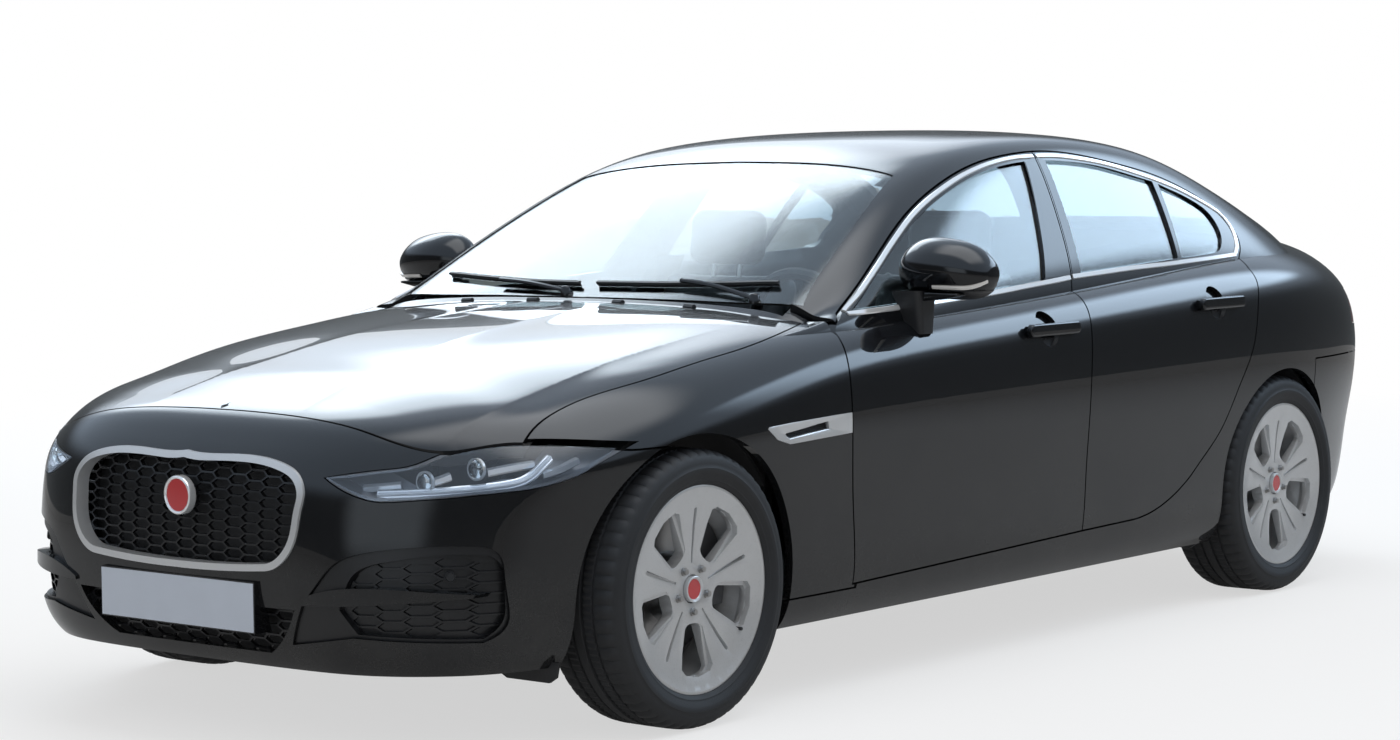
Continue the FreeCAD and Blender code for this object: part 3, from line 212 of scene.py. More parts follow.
def nodeGroup(name, inputs, outputs):
    group = bpy.data.node_groups.new(name, "ShaderNodeTree")
    for label, kind, value in inputs:
        socket = group.interface.new_socket(label, in_out="INPUT", socket_type="NodeSocket" + kind)
        socket.default_value = value
    for label, kind in outputs:
        group.interface.new_socket(label, in_out="OUTPUT", socket_type="NodeSocket" + kind)
    return group, group.nodes.new("NodeGroupInput"), group.nodes.new("NodeGroupOutput")


def mathNode(tree, operation, a, b=None, c=None, clamp=False):
    node = tree.nodes.new("ShaderNodeMath")
    node.operation, node.use_clamp = operation, clamp
    for i, value in enumerate((a, b, c)):
        if isinstance(value, (int, float)):
            node.inputs[i].default_value = value
        elif value is not None:
            tree.links.new(value, node.inputs[i])
    return node.outputs[0]


def mixColor(tree, share, a, b):
    node = tree.nodes.new("ShaderNodeMix")
    node.data_type = "RGBA"
    for socket, value in ((node.inputs[0], share), (node.inputs[6], a), (node.inputs[7], b)):
        if isinstance(value, (int, float, tuple)):
            socket.default_value = value
        else:
            tree.links.new(value, socket)
    return node.outputs[2]


def noiseNode(tree, coordinates, scale, detail=2.0, roughness=0.5):
    node = tree.nodes.new("ShaderNodeTexNoise")
    node.inputs["Detail"].default_value = detail
    node.inputs["Roughness"].default_value = roughness
    if isinstance(scale, (int, float)):
        node.inputs["Scale"].default_value = scale
    else:
        tree.links.new(scale, node.inputs["Scale"])
    tree.links.new(coordinates, node.inputs["Vector"])
    return node.outputs["Fac"]


def makeRoadDust():  # dust that lies thicker towards the sills, with clouds and specks
    group, start, end = nodeGroup(
        "RoadDust",
        [("Color", "Color", (0, 0, 0, 1)), ("Dust", "Color", (0.2, 0.18, 0.16, 1)), ("Amount", "Float", 0.2),
         ("Clean Height", "Float", 0.8), ("Roughness", "Float", 0.2), ("Dusty Roughness", "Float", 0.6)],
        [("Color", "Color"), ("Roughness", "Float")])
    place = group.nodes.new("ShaderNodeTexCoord").outputs["Object"]
    apart = group.nodes.new("ShaderNodeSeparateXYZ")
    group.links.new(place, apart.inputs[0])
    low = mathNode(group, "DIVIDE", apart.outputs["Z"], start.outputs["Clean Height"])
    low = mathNode(group, "SUBTRACT", 1.0, low, clamp=True)
    masks = []
    for scale, detail, least, gain in ((5.0, 5.0, 0.32, 2.2), (240.0, 2.0, 0.56, 6.0)):  # clouds, then specks
        over = mathNode(group, "SUBTRACT", noiseNode(group, place, scale, detail, 0.6), least, clamp=True)
        masks.append(mathNode(group, "MULTIPLY", low, mathNode(group, "MULTIPLY", over, gain, clamp=True)))
    spots = mathNode(group, "MULTIPLY", masks[1], 0.7)
    mask = mathNode(group, "ADD", masks[0], spots, clamp=True)
    mask = mathNode(group, "MULTIPLY", mask, start.outputs["Amount"])
    group.links.new(mixColor(group, mask, start.outputs["Color"], start.outputs["Dust"]), end.inputs["Color"])
    mixed = group.nodes.new("ShaderNodeMapRange")
    group.links.new(mask, mixed.inputs["Value"])
    group.links.new(start.outputs["Roughness"], mixed.inputs["To Min"])
    group.links.new(start.outputs["Dusty Roughness"], mixed.inputs["To Max"])
    group.links.new(mixed.outputs[0], end.inputs["Roughness"])
    return group


def makeGrain():  # fine moulded grain: a height for bump, and a slow change of tone
    group, start, end = nodeGroup(
        "Grain",
        [("Scale", "Float", 900.0), ("Color", "Color", (0.1, 0.1, 0.1, 1)), ("Variation", "Float", 0.2)],
        [("Height", "Float"), ("Color", "Color")])
    place = group.nodes.new("ShaderNodeTexCoord").outputs["Object"]
    fine = noiseNode(group, place, start.outputs["Scale"], 3.0, 0.6)
    group.links.new(fine, end.inputs["Height"])
    slow = noiseNode(group, place, 14.0, 3.0, 0.5)
    tone = mathNode(group, "MULTIPLY", mathNode(group, "SUBTRACT", slow, 0.5), start.outputs["Variation"])
    bright = mathNode(group, "ADD", tone, 1.0)
    scaled = group.nodes.new("ShaderNodeVectorMath")
    scaled.operation = "SCALE"
    group.links.new(start.outputs["Color"], scaled.inputs[0])
    group.links.new(bright, scaled.inputs["Scale"])
    group.links.new(scaled.outputs[0], end.inputs["Color"])
    return group


roadDust = makeRoadDust()
grain = makeGrain()


def setSockets(node, values):
    for label, value in values.items():
        socket = node.inputs[label.replace("_", " ")]
        socket.default_value = (*value, 1.0) if isinstance(value, tuple) else value


def newMaterial(name, **values):  # plain values go on the shader's own sockets
    material = bpy.data.materials.new(name)
    material.use_nodes = True
    setSockets(material.node_tree.nodes["Principled BSDF"], values)
    return material


def withGroup(material, group, **values):  # places a group in the material and links its colour
    tree = material.node_tree
    shader = tree.nodes["Principled BSDF"]
    node = tree.nodes.new("ShaderNodeGroup")
    node.node_tree = group
    setSockets(node, values)
    tree.links.new(node.outputs["Color"], shader.inputs["Base Color"])
    return tree, shader, node


def dusty(name, color, roughness, amount, cleanHeight, dust=(0.17, 0.16, 0.145), dustyRoughness=0.6,
          **values):
    material = newMaterial(name, **values)
    tree, shader, node = withGroup(
        material, roadDust, Color=color, Dust=dust, Amount=amount, Clean_Height=cleanHeight,
        Roughness=roughness, Dusty_Roughness=dustyRoughness)
    tree.links.new(node.outputs["Roughness"], shader.inputs["Roughness"])
    return material


def moulded(name, color, roughness, scale, depth, variation, **values):
    material = newMaterial(name, Roughness=roughness, **values)
    tree, shader, node = withGroup(material, grain, Scale=scale, Color=color, Variation=variation)
    bump = tree.nodes.new("ShaderNodeBump")
    setSockets(bump, {"Distance": depth, "Strength": 0.6})
    tree.links.new(node.outputs["Height"], bump.inputs["Height"])
    tree.links.new(bump.outputs[0], shader.inputs["Normal"])
    return material


def clear(name, color, **values):
    return newMaterial(name, Base_Color=color, **{"Roughness": 0.0, "Transmission_Weight": 1.0, **values})


# Dusty finishes: colour, roughness, amount of dust, height above which the car is clean
blackPaint = dusty("BlackPaint", (0.0035, 0.0038, 0.0048), 0.35, 0.10, 0.80, Coat_Weight=1.0,
                   Coat_Roughness=0.012, Coat_IOR=1.5, Specular_IOR_Level=0.05)
glossBlack = dusty("GlossBlackTrim", (0.004, 0.004, 0.0045), 0.08, 0.05, 0.7)
wheelSilver = dusty("WheelSilver", (0.50, 0.505, 0.51), 0.30, 0.25, 0.9, (0.12, 0.10, 0.085), 0.7,
                    Metallic=0.30, Coat_Weight=0.6, Coat_Roughness=0.08)

# Grained finishes: colour, roughness, grain scale, grain depth, change of tone
satinSilver = moulded("SatinSilver", (0.58, 0.59, 0.60), 0.28, 1500, 0.00003, 0.06, Metallic=0.45)
brightChrome = moulded("BrightChrome", (0.86, 0.87, 0.88), 0.10, 300, 0.00001, 0.04, Metallic=0.6)
tyreRubber = moulded("TyreRubber", (0.013, 0.013, 0.014), 0.62, 420, 0.0006, 0.5)
darkPlastic = moulded("DarkPlastic", (0.012, 0.012, 0.013), 0.42, 1300, 0.0002, 0.3)
meshPlastic = moulded("MeshPlastic", (0.010, 0.010, 0.011), 0.33, 1500, 0.0001, 0.2)
castMetal = moulded("CastMetal", (0.16, 0.16, 0.165), 0.55, 500, 0.0005, 0.4, Metallic=0.6)
brakeSteel = moulded("BrakeSteel", (0.42, 0.41, 0.40), 0.32, 700, 0.0001, 0.25, Metallic=1.0)
underCoat = moulded("UnderCoat", (0.022, 0.022, 0.023), 0.75, 260, 0.0012, 0.5)
exhaustSteel = moulded("ExhaustSteel", (0.40, 0.38, 0.36), 0.35, 400, 0.0002, 0.4, Metallic=1.0)
darkLeather = moulded("DarkLeather", (0.016, 0.015, 0.0145), 0.45, 420, 0.0008, 0.35)
softTrim = moulded("SoftTrim", (0.020, 0.020, 0.021), 0.62, 620, 0.0006, 0.25)
plateGrey = moulded("PlateGrey", (0.47, 0.51, 0.58), 0.45, 200, 0.0002, 0.08)
lampBowl = moulded("LampBowl", (0.12, 0.125, 0.135), 0.30, 400, 0.0001, 0.25, Metallic=0.4)
mirrorSilver = moulded("MirrorSilver", (0.82, 0.84, 0.86), 0.02, 40, 0.0, 0.02, Metallic=1.0)
capRed = moulded("CapRed", (0.42, 0.008, 0.012), 0.22, 500, 0.00005, 0.15, Coat_Weight=1.0,
                 Coat_Roughness=0.03)
tailRed = moulded("TailRed", (0.38, 0.006, 0.010), 0.16, 260, 0.00008, 0.25, Coat_Weight=1.0,
                  Coat_Roughness=0.02)
lightGuide = moulded("LightGuide", (0.78, 0.80, 0.83), 0.20, 300, 0.0001, 0.10, Coat_Weight=0.8,
                     Coat_Roughness=0.03)
repeaterLens = moulded("RepeaterLens", (0.62, 0.60, 0.57), 0.12, 260, 0.0002, 0.30, Coat_Weight=1.0)

clearGlass = clear("ClearGlass", (0.80, 0.86, 0.86), IOR=1.5)
sideGlass = clear("SideGlass", (0.66, 0.74, 0.75), IOR=1.5)
lampGlass = clear("LampGlass", (0.95, 0.97, 1.0), IOR=1.45)
redGlass = clear("RedGlass", (0.36, 0.006, 0.008), Roughness=0.03, IOR=1.45, Transmission_Weight=0.30,
                 Coat_Weight=1.0, Coat_Roughness=0.02)
print("materials ready")


# Panels: copies of the solids with finer facets, whose outer faces lie on the smooth skin


def newPiece(name, mesh, body, finish):
    piece = bpy.data.objects.new(name, mesh)
    bpy.context.scene.collection.objects.link(piece)
    if finish is not None:
        mesh.materials.clear()
        for material in (finish if isinstance(finish, (list, tuple)) else [finish]):
            mesh.materials.append(material)
    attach(piece, body)
    return piece


def mergedCopy(node):
    bm = bmesh.new()
    bm.from_mesh(nodes[node].data)
    for layer in list(bm.loops.layers.uv):
        bm.loops.layers.uv.remove(layer)
    bmesh.ops.remove_doubles(bm, verts=bm.verts, dist=panelRules["mergeWithin"])
    return bm


def facePoints(faces):
    verts = list({v for f in faces for v in f.verts})
    return verts, np.array([v.co for v in verts])


bonnetLines = {
    "front": -2.20, "length": 1.30, "fadeFront": -2.19, "fadeRear": -0.93, "fadeOver": 0.10,
    "centre": {"at": 0.262, "inwards": 0.135, "steep": 0.085, "reach": 0.075},
    "side": {"at": 0.640, "bulge": 0.022, "steep": 0.11, "reach": 0.045, "endY": -1.05, "endOver": 0.35},
    "fineAt": 0.650, "fine": {"within": 0.03, "longest": 0.012}, "medium": {"within": 0.07, "longest": 0.025},
}


def centreLineAt(y):  # how far out the inner pressed line lies
    along = np.clip((y - bonnetLines["front"]) / bonnetLines["length"], 0, 1)
    return bonnetLines["centre"]["at"] - bonnetLines["centre"]["inwards"] * along ** 0.75


def bonnetRelief(p):  # how far the pressed lines of the bonnet stand from the smooth skin
    lines = bonnetLines
    x, y = np.abs(p[:, 0]), p[:, 1]
    along = np.clip((y - lines["front"]) / lines["length"], 0, 1)
    sideAt = lines["side"]["at"] + lines["side"]["bulge"] * np.sin(along * 3.1)
    sideHold = np.clip((lines["side"]["endY"] - y) / lines["side"]["endOver"], 0, 1)
    depth = np.zeros(len(p))
    for line, at, hold in ((lines["centre"], centreLineAt(y), 1.0), (lines["side"], sideAt, sideHold)):
        out = np.maximum(x - at, 0)
        depth -= line["steep"] * out * np.exp(-out / line["reach"]) * hold
    rear = np.clip((lines["fadeRear"] - y) / lines["fadeOver"], 0, 1)
    return depth * rear * np.clip((y - lines["fadeFront"]) / lines["fadeOver"], 0, 1)


def reliefSlope(relief, p):
    slope, reach = np.zeros_like(p), 0.0015
    for axis in range(3):
        step = np.zeros(3)
        step[axis] = reach
        slope[:, axis] = (relief(p + step) - relief(p - step)) / (2 * reach)
    return slope


panelRules = {  # when a facet counts as skin, when its corners are moved on it, and its longest edge
    "mergeWithin": 0.00002, "skinWithin": 0.00025, "facing": 0.80, "snapWithin": 0.004, "longest": 0.05,
    "rounds": 5, "sharp": 0.6,
}


def smoothPanel(node, finish, relief=None, longestAt=None):
    bm = mergedCopy(node)
    tag = bm.faces.layers.int.new("skin")
    verts = list(bm.verts)
    points = np.array([v.co for v in verts])
    near = [surface.nearest(points) for surface in (lowerSkin, cabinSkin)]
    index = {v: i for i, v in enumerate(verts)}
    for f in bm.faces:
        ids = [index[v] for v in f.verts]
        normal = np.array(f.normal)
        for code, (q, n, d) in enumerate(near, 1):
            if max(d[ids]) < panelRules["skinWithin"] and (n[ids] @ normal).min() > panelRules["facing"]:
                f[tag] = code
                break
    for _ in range(panelRules["rounds"]):
        edges = set()
        for f in bm.faces:
            for e in f.edges if f[tag] else ():
                limit = panelRules["longest"]
                if longestAt is not None:
                    limit = longestAt((e.verts[0].co + e.verts[1].co) / 2)
                if e.calc_length() > limit:
                    edges.add(e)
        if not edges:
            break
        bmesh.ops.subdivide_edges(bm, edges=list(edges), cuts=1)
        bmesh.ops.triangulate(bm, faces=[f for f in bm.faces if len(f.verts) > 3], quad_method="SHORT_EDGE")
    normals = {}
    for code, surface in enumerate((lowerSkin, cabinSkin), 1):
        faces = [f for f in bm.faces if f[tag] == code]
        if not faces:
            continue
        own, p = facePoints(faces)
        q, n, d = surface.nearest(p)
        if relief is not None:
            depth, slope = relief(q), reliefSlope(relief, q)
            q = q + n * depth[:, None]
            slope -= (slope * n).sum(1)[:, None] * n
            n = n - slope
            n /= np.linalg.norm(n, axis=1, keepdims=True)
        for v, place, normal, far in zip(own, q, n, d):
            if far < panelRules["snapWithin"]:
                v.co = place
            normals[(v, code)] = normal
    for f in bm.faces:
        f.smooth = True
    for e in bm.edges:
        if len(e.link_faces) == 2:
            a, b = e.link_faces
            if a[tag] != b[tag] or (not a[tag] and e.calc_face_angle(0) > panelRules["sharp"]):
                e.smooth = False
    bm.verts.index_update()
    bm.faces.index_update()
    loopNormals = []
    for f in bm.faces:
        for loop in f.loops:
            loopNormals.append(tuple(normals.get((loop.vert, f[tag]), (0, 0, 0))))
    mesh = bpy.data.meshes.new(node + "Panel")
    bm.to_mesh(mesh)
    bm.free()
    mesh.normals_split_custom_set(loopNormals)
    piece = newPiece(node + "_panel", mesh, bodyOfNode[node], finish)
    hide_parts(node)
    return piece


def bonnetEdge(middle):  # longest edge of a facet there: finer beside the pressed lines
    x = abs(middle.x)
    gap = min(abs(x - centreLineAt(middle.y)), abs(x - bonnetLines["fineAt"]))
    for zone in (bonnetLines["fine"], bonnetLines["medium"]):
        if gap < zone["within"]:
            return zone["longest"]
    return panelRules["longest"]


paintedNodes = ["front_bumper", "fenders", "front_door_left", "front_door_right", "rear_door_left",
                "rear_door_right", "roof_panel", "boot_lid", "rear_bumper", "body_sides"]
# the grip hollows that get painted shade: centres on y and z, radius, and depth range below the skin
gripCups = {"places": {"front_door": (0.000, 0.866), "rear_door": (0.902, 0.900)}, "radius": 0.0495,
            "from": 0.003, "to": 0.0140}


def paintCupShade(piece, place):  # painted shade: the hollow behind a grip gets a dark matte finish in place of the paint
    piece.data.materials.append(darkPlastic)
    centres = np.array([p.center for p in piece.data.polygons])
    far = lowerSkin.nearest(centres)[2]
    close = np.hypot(centres[:, 1] - place[0], centres[:, 2] - place[1]) < gripCups["radius"]
    for polygon, deep in zip(piece.data.polygons, close & (far > gripCups["from"]) & (far < gripCups["to"])):
        if deep:
            polygon.material_index = 1


for node in paintedNodes:
    piece = smoothPanel(node, blackPaint)
    # painted shade in the hollows behind the grips
    for label, place in gripCups["places"].items():
        if node.startswith(label):
            paintCupShade(piece, place)
smoothPanel("bonnet", blackPaint, bonnetRelief, bonnetEdge)
print("painted panels done")


# Other solids that keep their own shape and get their finish
plainFinishes = {
    "headlamps": lampBowl, "grille_mesh": meshPlastic, "fixed_glass": clearGlass, "front_plate": plateGrey,
    "rear_plate": plateGrey, "underbody": underCoat, "suspension": castMetal, "knuckle_left": castMetal,
    "knuckle_right": castMetal, "front_door_glass_left": sideGlass, "front_door_glass_right": sideGlass,
    "rear_door_glass_left": sideGlass, "rear_door_glass_right": sideGlass,
}
sides = {"left": 1, "right": -1}
corners = ["%s_%s" % (axle, side) for axle in ("front", "rear") for side in sides]
for corner in corners:
    plainFinishes["brake_disc_" + corner] = brakeSteel


def finishNode(node, finish):
    shown = nodes[node]
    if not shown.material_slots:
        shown.data.materials.append(finish)
    for slot in shown.material_slots:
        slot.material = finish


for node, finish in plainFinishes.items():
    finishNode(node, finish)
print("plain nodes finished")


# Shared ways of making small pieces


def shaped(name, bm, body, finish, angle=0.6, smooth=True):
    bmesh.ops.recalc_face_normals(bm, faces=bm.faces)
    for f in bm.faces:
        f.smooth = smooth
    for e in bm.edges:
        if len(e.link_faces) == 2 and e.calc_face_angle(0) > angle:
            e.smooth = False
    mesh = bpy.data.meshes.new(name)
    bm.to_mesh(mesh)
    bm.free()
    return newPiece(name, mesh, body, finish)


def softEdges(bm, edges, width, clamp=True):
    bmesh.ops.bevel(bm, geom=list(edges), offset=width, segments=2, profile=0.5, affect="EDGES", material=-1,
                    clamp_overlap=clamp)


def addRod(bm, place, radius, length, segments, turn):
    bmesh.ops.create_cone(bm, cap_ends=True, segments=segments, radius1=radius, radius2=radius, depth=length,
                          matrix=Matrix.Translation(place) @ turn)


def curveThrough(points, count):  # evenly spaced points of a smooth curve through the given ones
    points = np.array(points, float)
    ends = np.concatenate([[2 * points[0] - points[1]], points, [2 * points[-1] - points[-2]]])
    t = np.linspace(0, 1, 24, endpoint=False)[:, None]
    fine = []
    for i in range(len(points) - 1):
        a, b, c, d = ends[i:i + 4]
        square, cube = 2 * a - 5 * b + 4 * c - d, 3 * b - a - 3 * c + d
        fine.append(0.5 * (2 * b + (c - a) * t + square * t ** 2 + cube * t ** 3))
    fine = np.concatenate(fine + [points[-1:]])
    run = np.concatenate([[0], np.cumsum(np.linalg.norm(np.diff(fine, axis=0), axis=1))])
    even = np.linspace(0, run[-1], count)
    return np.stack([np.interp(even, run, column) for column in fine.T], 1)


def makeSkinTree():
    verts, faces = [], []
    for surface in (lowerSkin, cabinSkin):
        base, across = len(verts), surface.across
        verts += [tuple(p) for p in surface.at(surface.samples)[0]]
        for i in range(surface.along - 1):
            for j in range(across - 1):
                k = base + i * across + j
                faces.append((k, k + 1, k + across + 1, k + across))
    return BVHTree.FromPolygons(verts, faces)


skinTree = makeSkinTree()


def onSkin(points, direction):  # the skin's points and normals met by rays through the points, left side only
    found = []
    step = Vector(direction)
    for p in np.array(points, float):
        hit = skinTree.ray_cast(Vector(p) - step * 3, step)[0]
        found.append(hit if hit is not None else Vector(p))
    lower, cabin = lowerSkin.nearest(np.array(found)), cabinSkin.nearest(np.array(found))
    onCabin = (cabin[2] < lower[2])[:, None]
    return np.where(onCabin, cabin[0], lower[0]), np.where(onCabin, cabin[1], lower[1])


def sidePlaces(places):
    return onSkin([(0, y, z) for y, z in places], (-1, 0, 0))


def frontPlaces(places):
    return onSkin([(x, 0, z) for x, z in places], (0, 1, 0))


def topPlaces(places):  # the skin straight below plan places, on either side
    turn = np.array([[math.copysign(1, x), 1, 1] for x, y in places])
    q, n = onSkin([(abs(x), y, 0) for x, y in places], (0, 0, -1))
    return q * turn, n * turn


def turnedSide(points, side):
    return np.array(points, float) * np.array([side, 1, 1])


def ribbon(name, points, normals, outline, body, finish, side=1):
    # a bar along the points; its outline is drawn across the bar (first) and away from the skin (second)
    points, normals = turnedSide(points, side), turnedSide(normals, side)
    ahead = np.roll(points, -1, 0) - np.roll(points, 1, 0)
    ahead[0], ahead[-1] = points[1] - points[0], points[-1] - points[-2]
    ahead /= np.linalg.norm(ahead, axis=1, keepdims=True)
    across = np.cross(normals, ahead)
    across /= np.linalg.norm(across, axis=1, keepdims=True)
    bm = bmesh.new()
    rings = []
    for p, n, s in zip(points, normals, across):
        rings.append([bm.verts.new(p + s * a + n * b) for a, b in outline])
    bridgeRings(bm, rings)
    bm.faces.new(rings[0])
    bm.faces.new(rings[-1])
    return shaped(name, bm, body, finish)


def bridgeRings(bm, rings):
    for here, there in zip(rings, rings[1:]):
        for i in range(len(here)):
            k = (i + 1) % len(here)
            bm.faces.new((here[i], here[k], there[k], there[i]))


def barOutline(width, low, high, rounded=0.3):
    half, cut = width / 2, (high - low) * rounded
    return [(-half, low), (half, low), (half, high - cut), (half - cut, high), (-half + cut, high),
            (-half, high - cut)]


def lathe(section, steps, centre, axis, side=1, closed=False):
    # turns the section (along the axis, away from it) about an axis through the centre
    bm = bmesh.new()
    verts = []
    other = {"x": (1, 2), "y": (0, 2), "z": (0, 1)}[axis]
    for along, away in section:
        place = [0.0, 0.0, 0.0]
        place["xyz".index(axis)] = along * side
        place[other[0]] = away
        verts.append(bm.verts.new(place))
    edges = [bm.edges.new((a, b)) for a, b in zip(verts, verts[1:])]
    if closed:
        edges.append(bm.edges.new((verts[-1], verts[0])))
    turn = Vector([1.0 if k == axis else 0.0 for k in "xyz"])
    bmesh.ops.spin(bm, geom=verts + edges, cent=(0, 0, 0), axis=turn, angle=2 * math.pi, steps=steps,
                   use_merge=True, use_duplicate=False)
    bmesh.ops.remove_doubles(bm, verts=bm.verts, dist=0.00001)
    bmesh.ops.translate(bm, vec=centre, verts=bm.verts)
    return bm


# Tyres: side walls with ridges, tread blocks between four grooves
tyre = {
    "steps": 240, "blocks": 60, "grooveDepth": 0.0065, "grooveHalf": 0.0045,
    "grooves": (0.062, 0.096, 0.129, 0.163), "grooveLip": 0.0008, "grooveEdge": 0.0012, "grooveSlope": 0.001,
    "crown": 0.001, "crownAt": 0.1, "shoulderCut": 0.0045,
    "shoulder": {"from": 0.3185, "inTo": 0.0575, "half": 0.13},
    "middle": {"from": 0.3285, "inTo": 0.1005, "at": 0.25, "half": 0.07, "depth": 0.8},
}


def tyreSection():
    wall = [
        (0.0130, 0.2465), (0.0085, 0.2490), (0.0055, 0.2560), (0.0042, 0.2570), (0.0036, 0.2620),
        (0.0026, 0.2630), (0.0012, 0.2740), (0.0004, 0.2750), (0.0004, 0.2860), (0.0014, 0.2870),
        (0.0022, 0.2960), (0.0042, 0.3050), (0.0085, 0.3140), (0.0130, 0.3195), (0.0200, 0.3240),
        (0.0285, 0.3270), (0.0370, 0.3287), (0.0500, 0.3296),
    ]
    lip, edge, slope, depth = (tyre["groove" + k] for k in ("Lip", "Edge", "Slope", "Depth"))
    section = list(wall)
    for middle in tyre["grooves"]:
        rise = car["tyreRadius"] - tyre["crown"] * ((middle - car["tyreWidth"] / 2) / tyre["crownAt"]) ** 2
        low, high = middle - tyre["grooveHalf"], middle + tyre["grooveHalf"]
        section += [(low - lip, rise), (low, rise - edge), (low + slope, rise - depth),
                    (high - slope, rise - depth), (high, rise - edge), (high + lip, rise)]
    section += [(car["tyreWidth"] - x, r) for x, r in reversed(wall)]
    return section


def wheelPlace(corner):  # the side's sign and the axle's y
    axle, side = corner.split("_")
    return sides[side], car[axle + "AxleY"]


def makeTyre(corner):
    sign, y = wheelPlace(corner)
    inner = car["trackHalf"] - car["tyreWidth"] / 2
    outer, middle = tyre["shoulder"], tyre["middle"]
    bm = lathe(tyreSection(), tyre["steps"], (sign * inner, y, car["tyreRadius"]), "x", sign, True)
    for v in bm.verts:
        dy, dz = v.co.y - y, v.co.z - car["tyreRadius"]
        radius = math.hypot(dy, dz)
        across = abs(v.co.x) - inner
        edge = min(across, car["tyreWidth"] - across)
        turn = math.degrees(math.atan2(dz, dy)) / 360 * tyre["blocks"]
        share = abs(turn - round(turn))
        cut = 0
        if radius > outer["from"] and edge < outer["inTo"]:
            cut = tyre["shoulderCut"] if share < outer["half"] else 0
        elif radius > middle["from"] and outer["inTo"] < edge < middle["inTo"]:
            cut = tyre["shoulderCut"] * middle["depth"] if abs(share - middle["at"]) < middle["half"] else 0
        if cut:
            v.co.y -= dy / radius * cut
            v.co.z -= dz / radius * cut
    piece = shaped("tread_" + corner, bm, bodyOfNode["tyre_" + corner], tyreRubber, 0.7)
    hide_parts("tyre_" + corner)


for corner in corners:
    makeTyre(corner)
print("tyres done")

# Wheels: edges of the solid rims are rounded, then nuts, cap and valve are added
wheel = {
    "faceAt": 0.876, "edgeRadius": 0.0014, "nuts": 5, "firstNut": 54, "nutCircle": 0.054, "nutAcross": 0.0105,
    "studRadius": 0.0065, "redWithin": 0.0235, "valveAt": 0.884, "valveCircle": 0.196, "valveAngle": -35,
    "valveRadius": 0.0042, "valveLength": 0.026,
    "cap": [(0, 0), (0, 0.024), (0.0025, 0.0255), (0.004, 0.029), (0.003, 0.031), (-0.012, 0.032)],
}


def roundedCopy(node, width):
    bm = mergedCopy(node)
    bmesh.ops.dissolve_limit(bm, angle_limit=0.012, verts=bm.verts, edges=bm.edges,
                             use_dissolve_boundaries=False)
    softEdges(bm, [e for e in bm.edges if len(e.link_faces) == 2 and e.calc_face_angle(0) > 0.5], width)
    return bm


def makeWheelParts(corner):
    sign, y = wheelPlace(corner)
    body, face = bodyOfNode["rim_" + corner], wheel["faceAt"]
    alongAxle = Matrix.Rotation(math.radians(90), 4, "Y")

    def onCircle(x, radius, degrees):
        angle = math.radians(degrees)
        return (sign * x, y + sign * radius * math.cos(angle), car["tyreRadius"] + radius * math.sin(angle))
    bm = roundedCopy("rim_" + corner, wheel["edgeRadius"])
    piece = shaped("rimShape_" + corner, bm, body, wheelSilver, 0.6)
    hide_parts("rim_" + corner)
    bm = bmesh.new()
    for k in range(wheel["nuts"]):
        degrees = wheel["firstNut"] + 360 / wheel["nuts"] * k
        nut = onCircle(face - 0.002, wheel["nutCircle"], degrees)
        stud = onCircle(face + 0.008, wheel["nutCircle"], degrees)
        addRod(bm, nut, wheel["nutAcross"], 0.014, 6, alongAxle)
        addRod(bm, stud, wheel["studRadius"], 0.008, 20, alongAxle)
    shaped("nuts_" + corner, bm, body, brakeSteel, 0.5)
    section = [(x + face + 0.006, r) for x, r in wheel["cap"]]
    bm = lathe(section, 48, (0, y, car["tyreRadius"]), "x", sign)
    piece = shaped("cap_" + corner, bm, body, [satinSilver, capRed], 0.5)
    for polygon in piece.data.polygons:
        if math.hypot(polygon.center.y - y, polygon.center.z - car["tyreRadius"]) < wheel["redWithin"]:
            polygon.material_index = 1
    bm = bmesh.new()
    place = onCircle(wheel["valveAt"], wheel["valveCircle"], wheel["valveAngle"])
    addRod(bm, place, wheel["valveRadius"], wheel["valveLength"], 14, alongAxle)
    shaped("valve_" + corner, bm, body, darkPlastic, 0.5)


for corner in corners:
    makeWheelParts(corner)
print("wheels done")

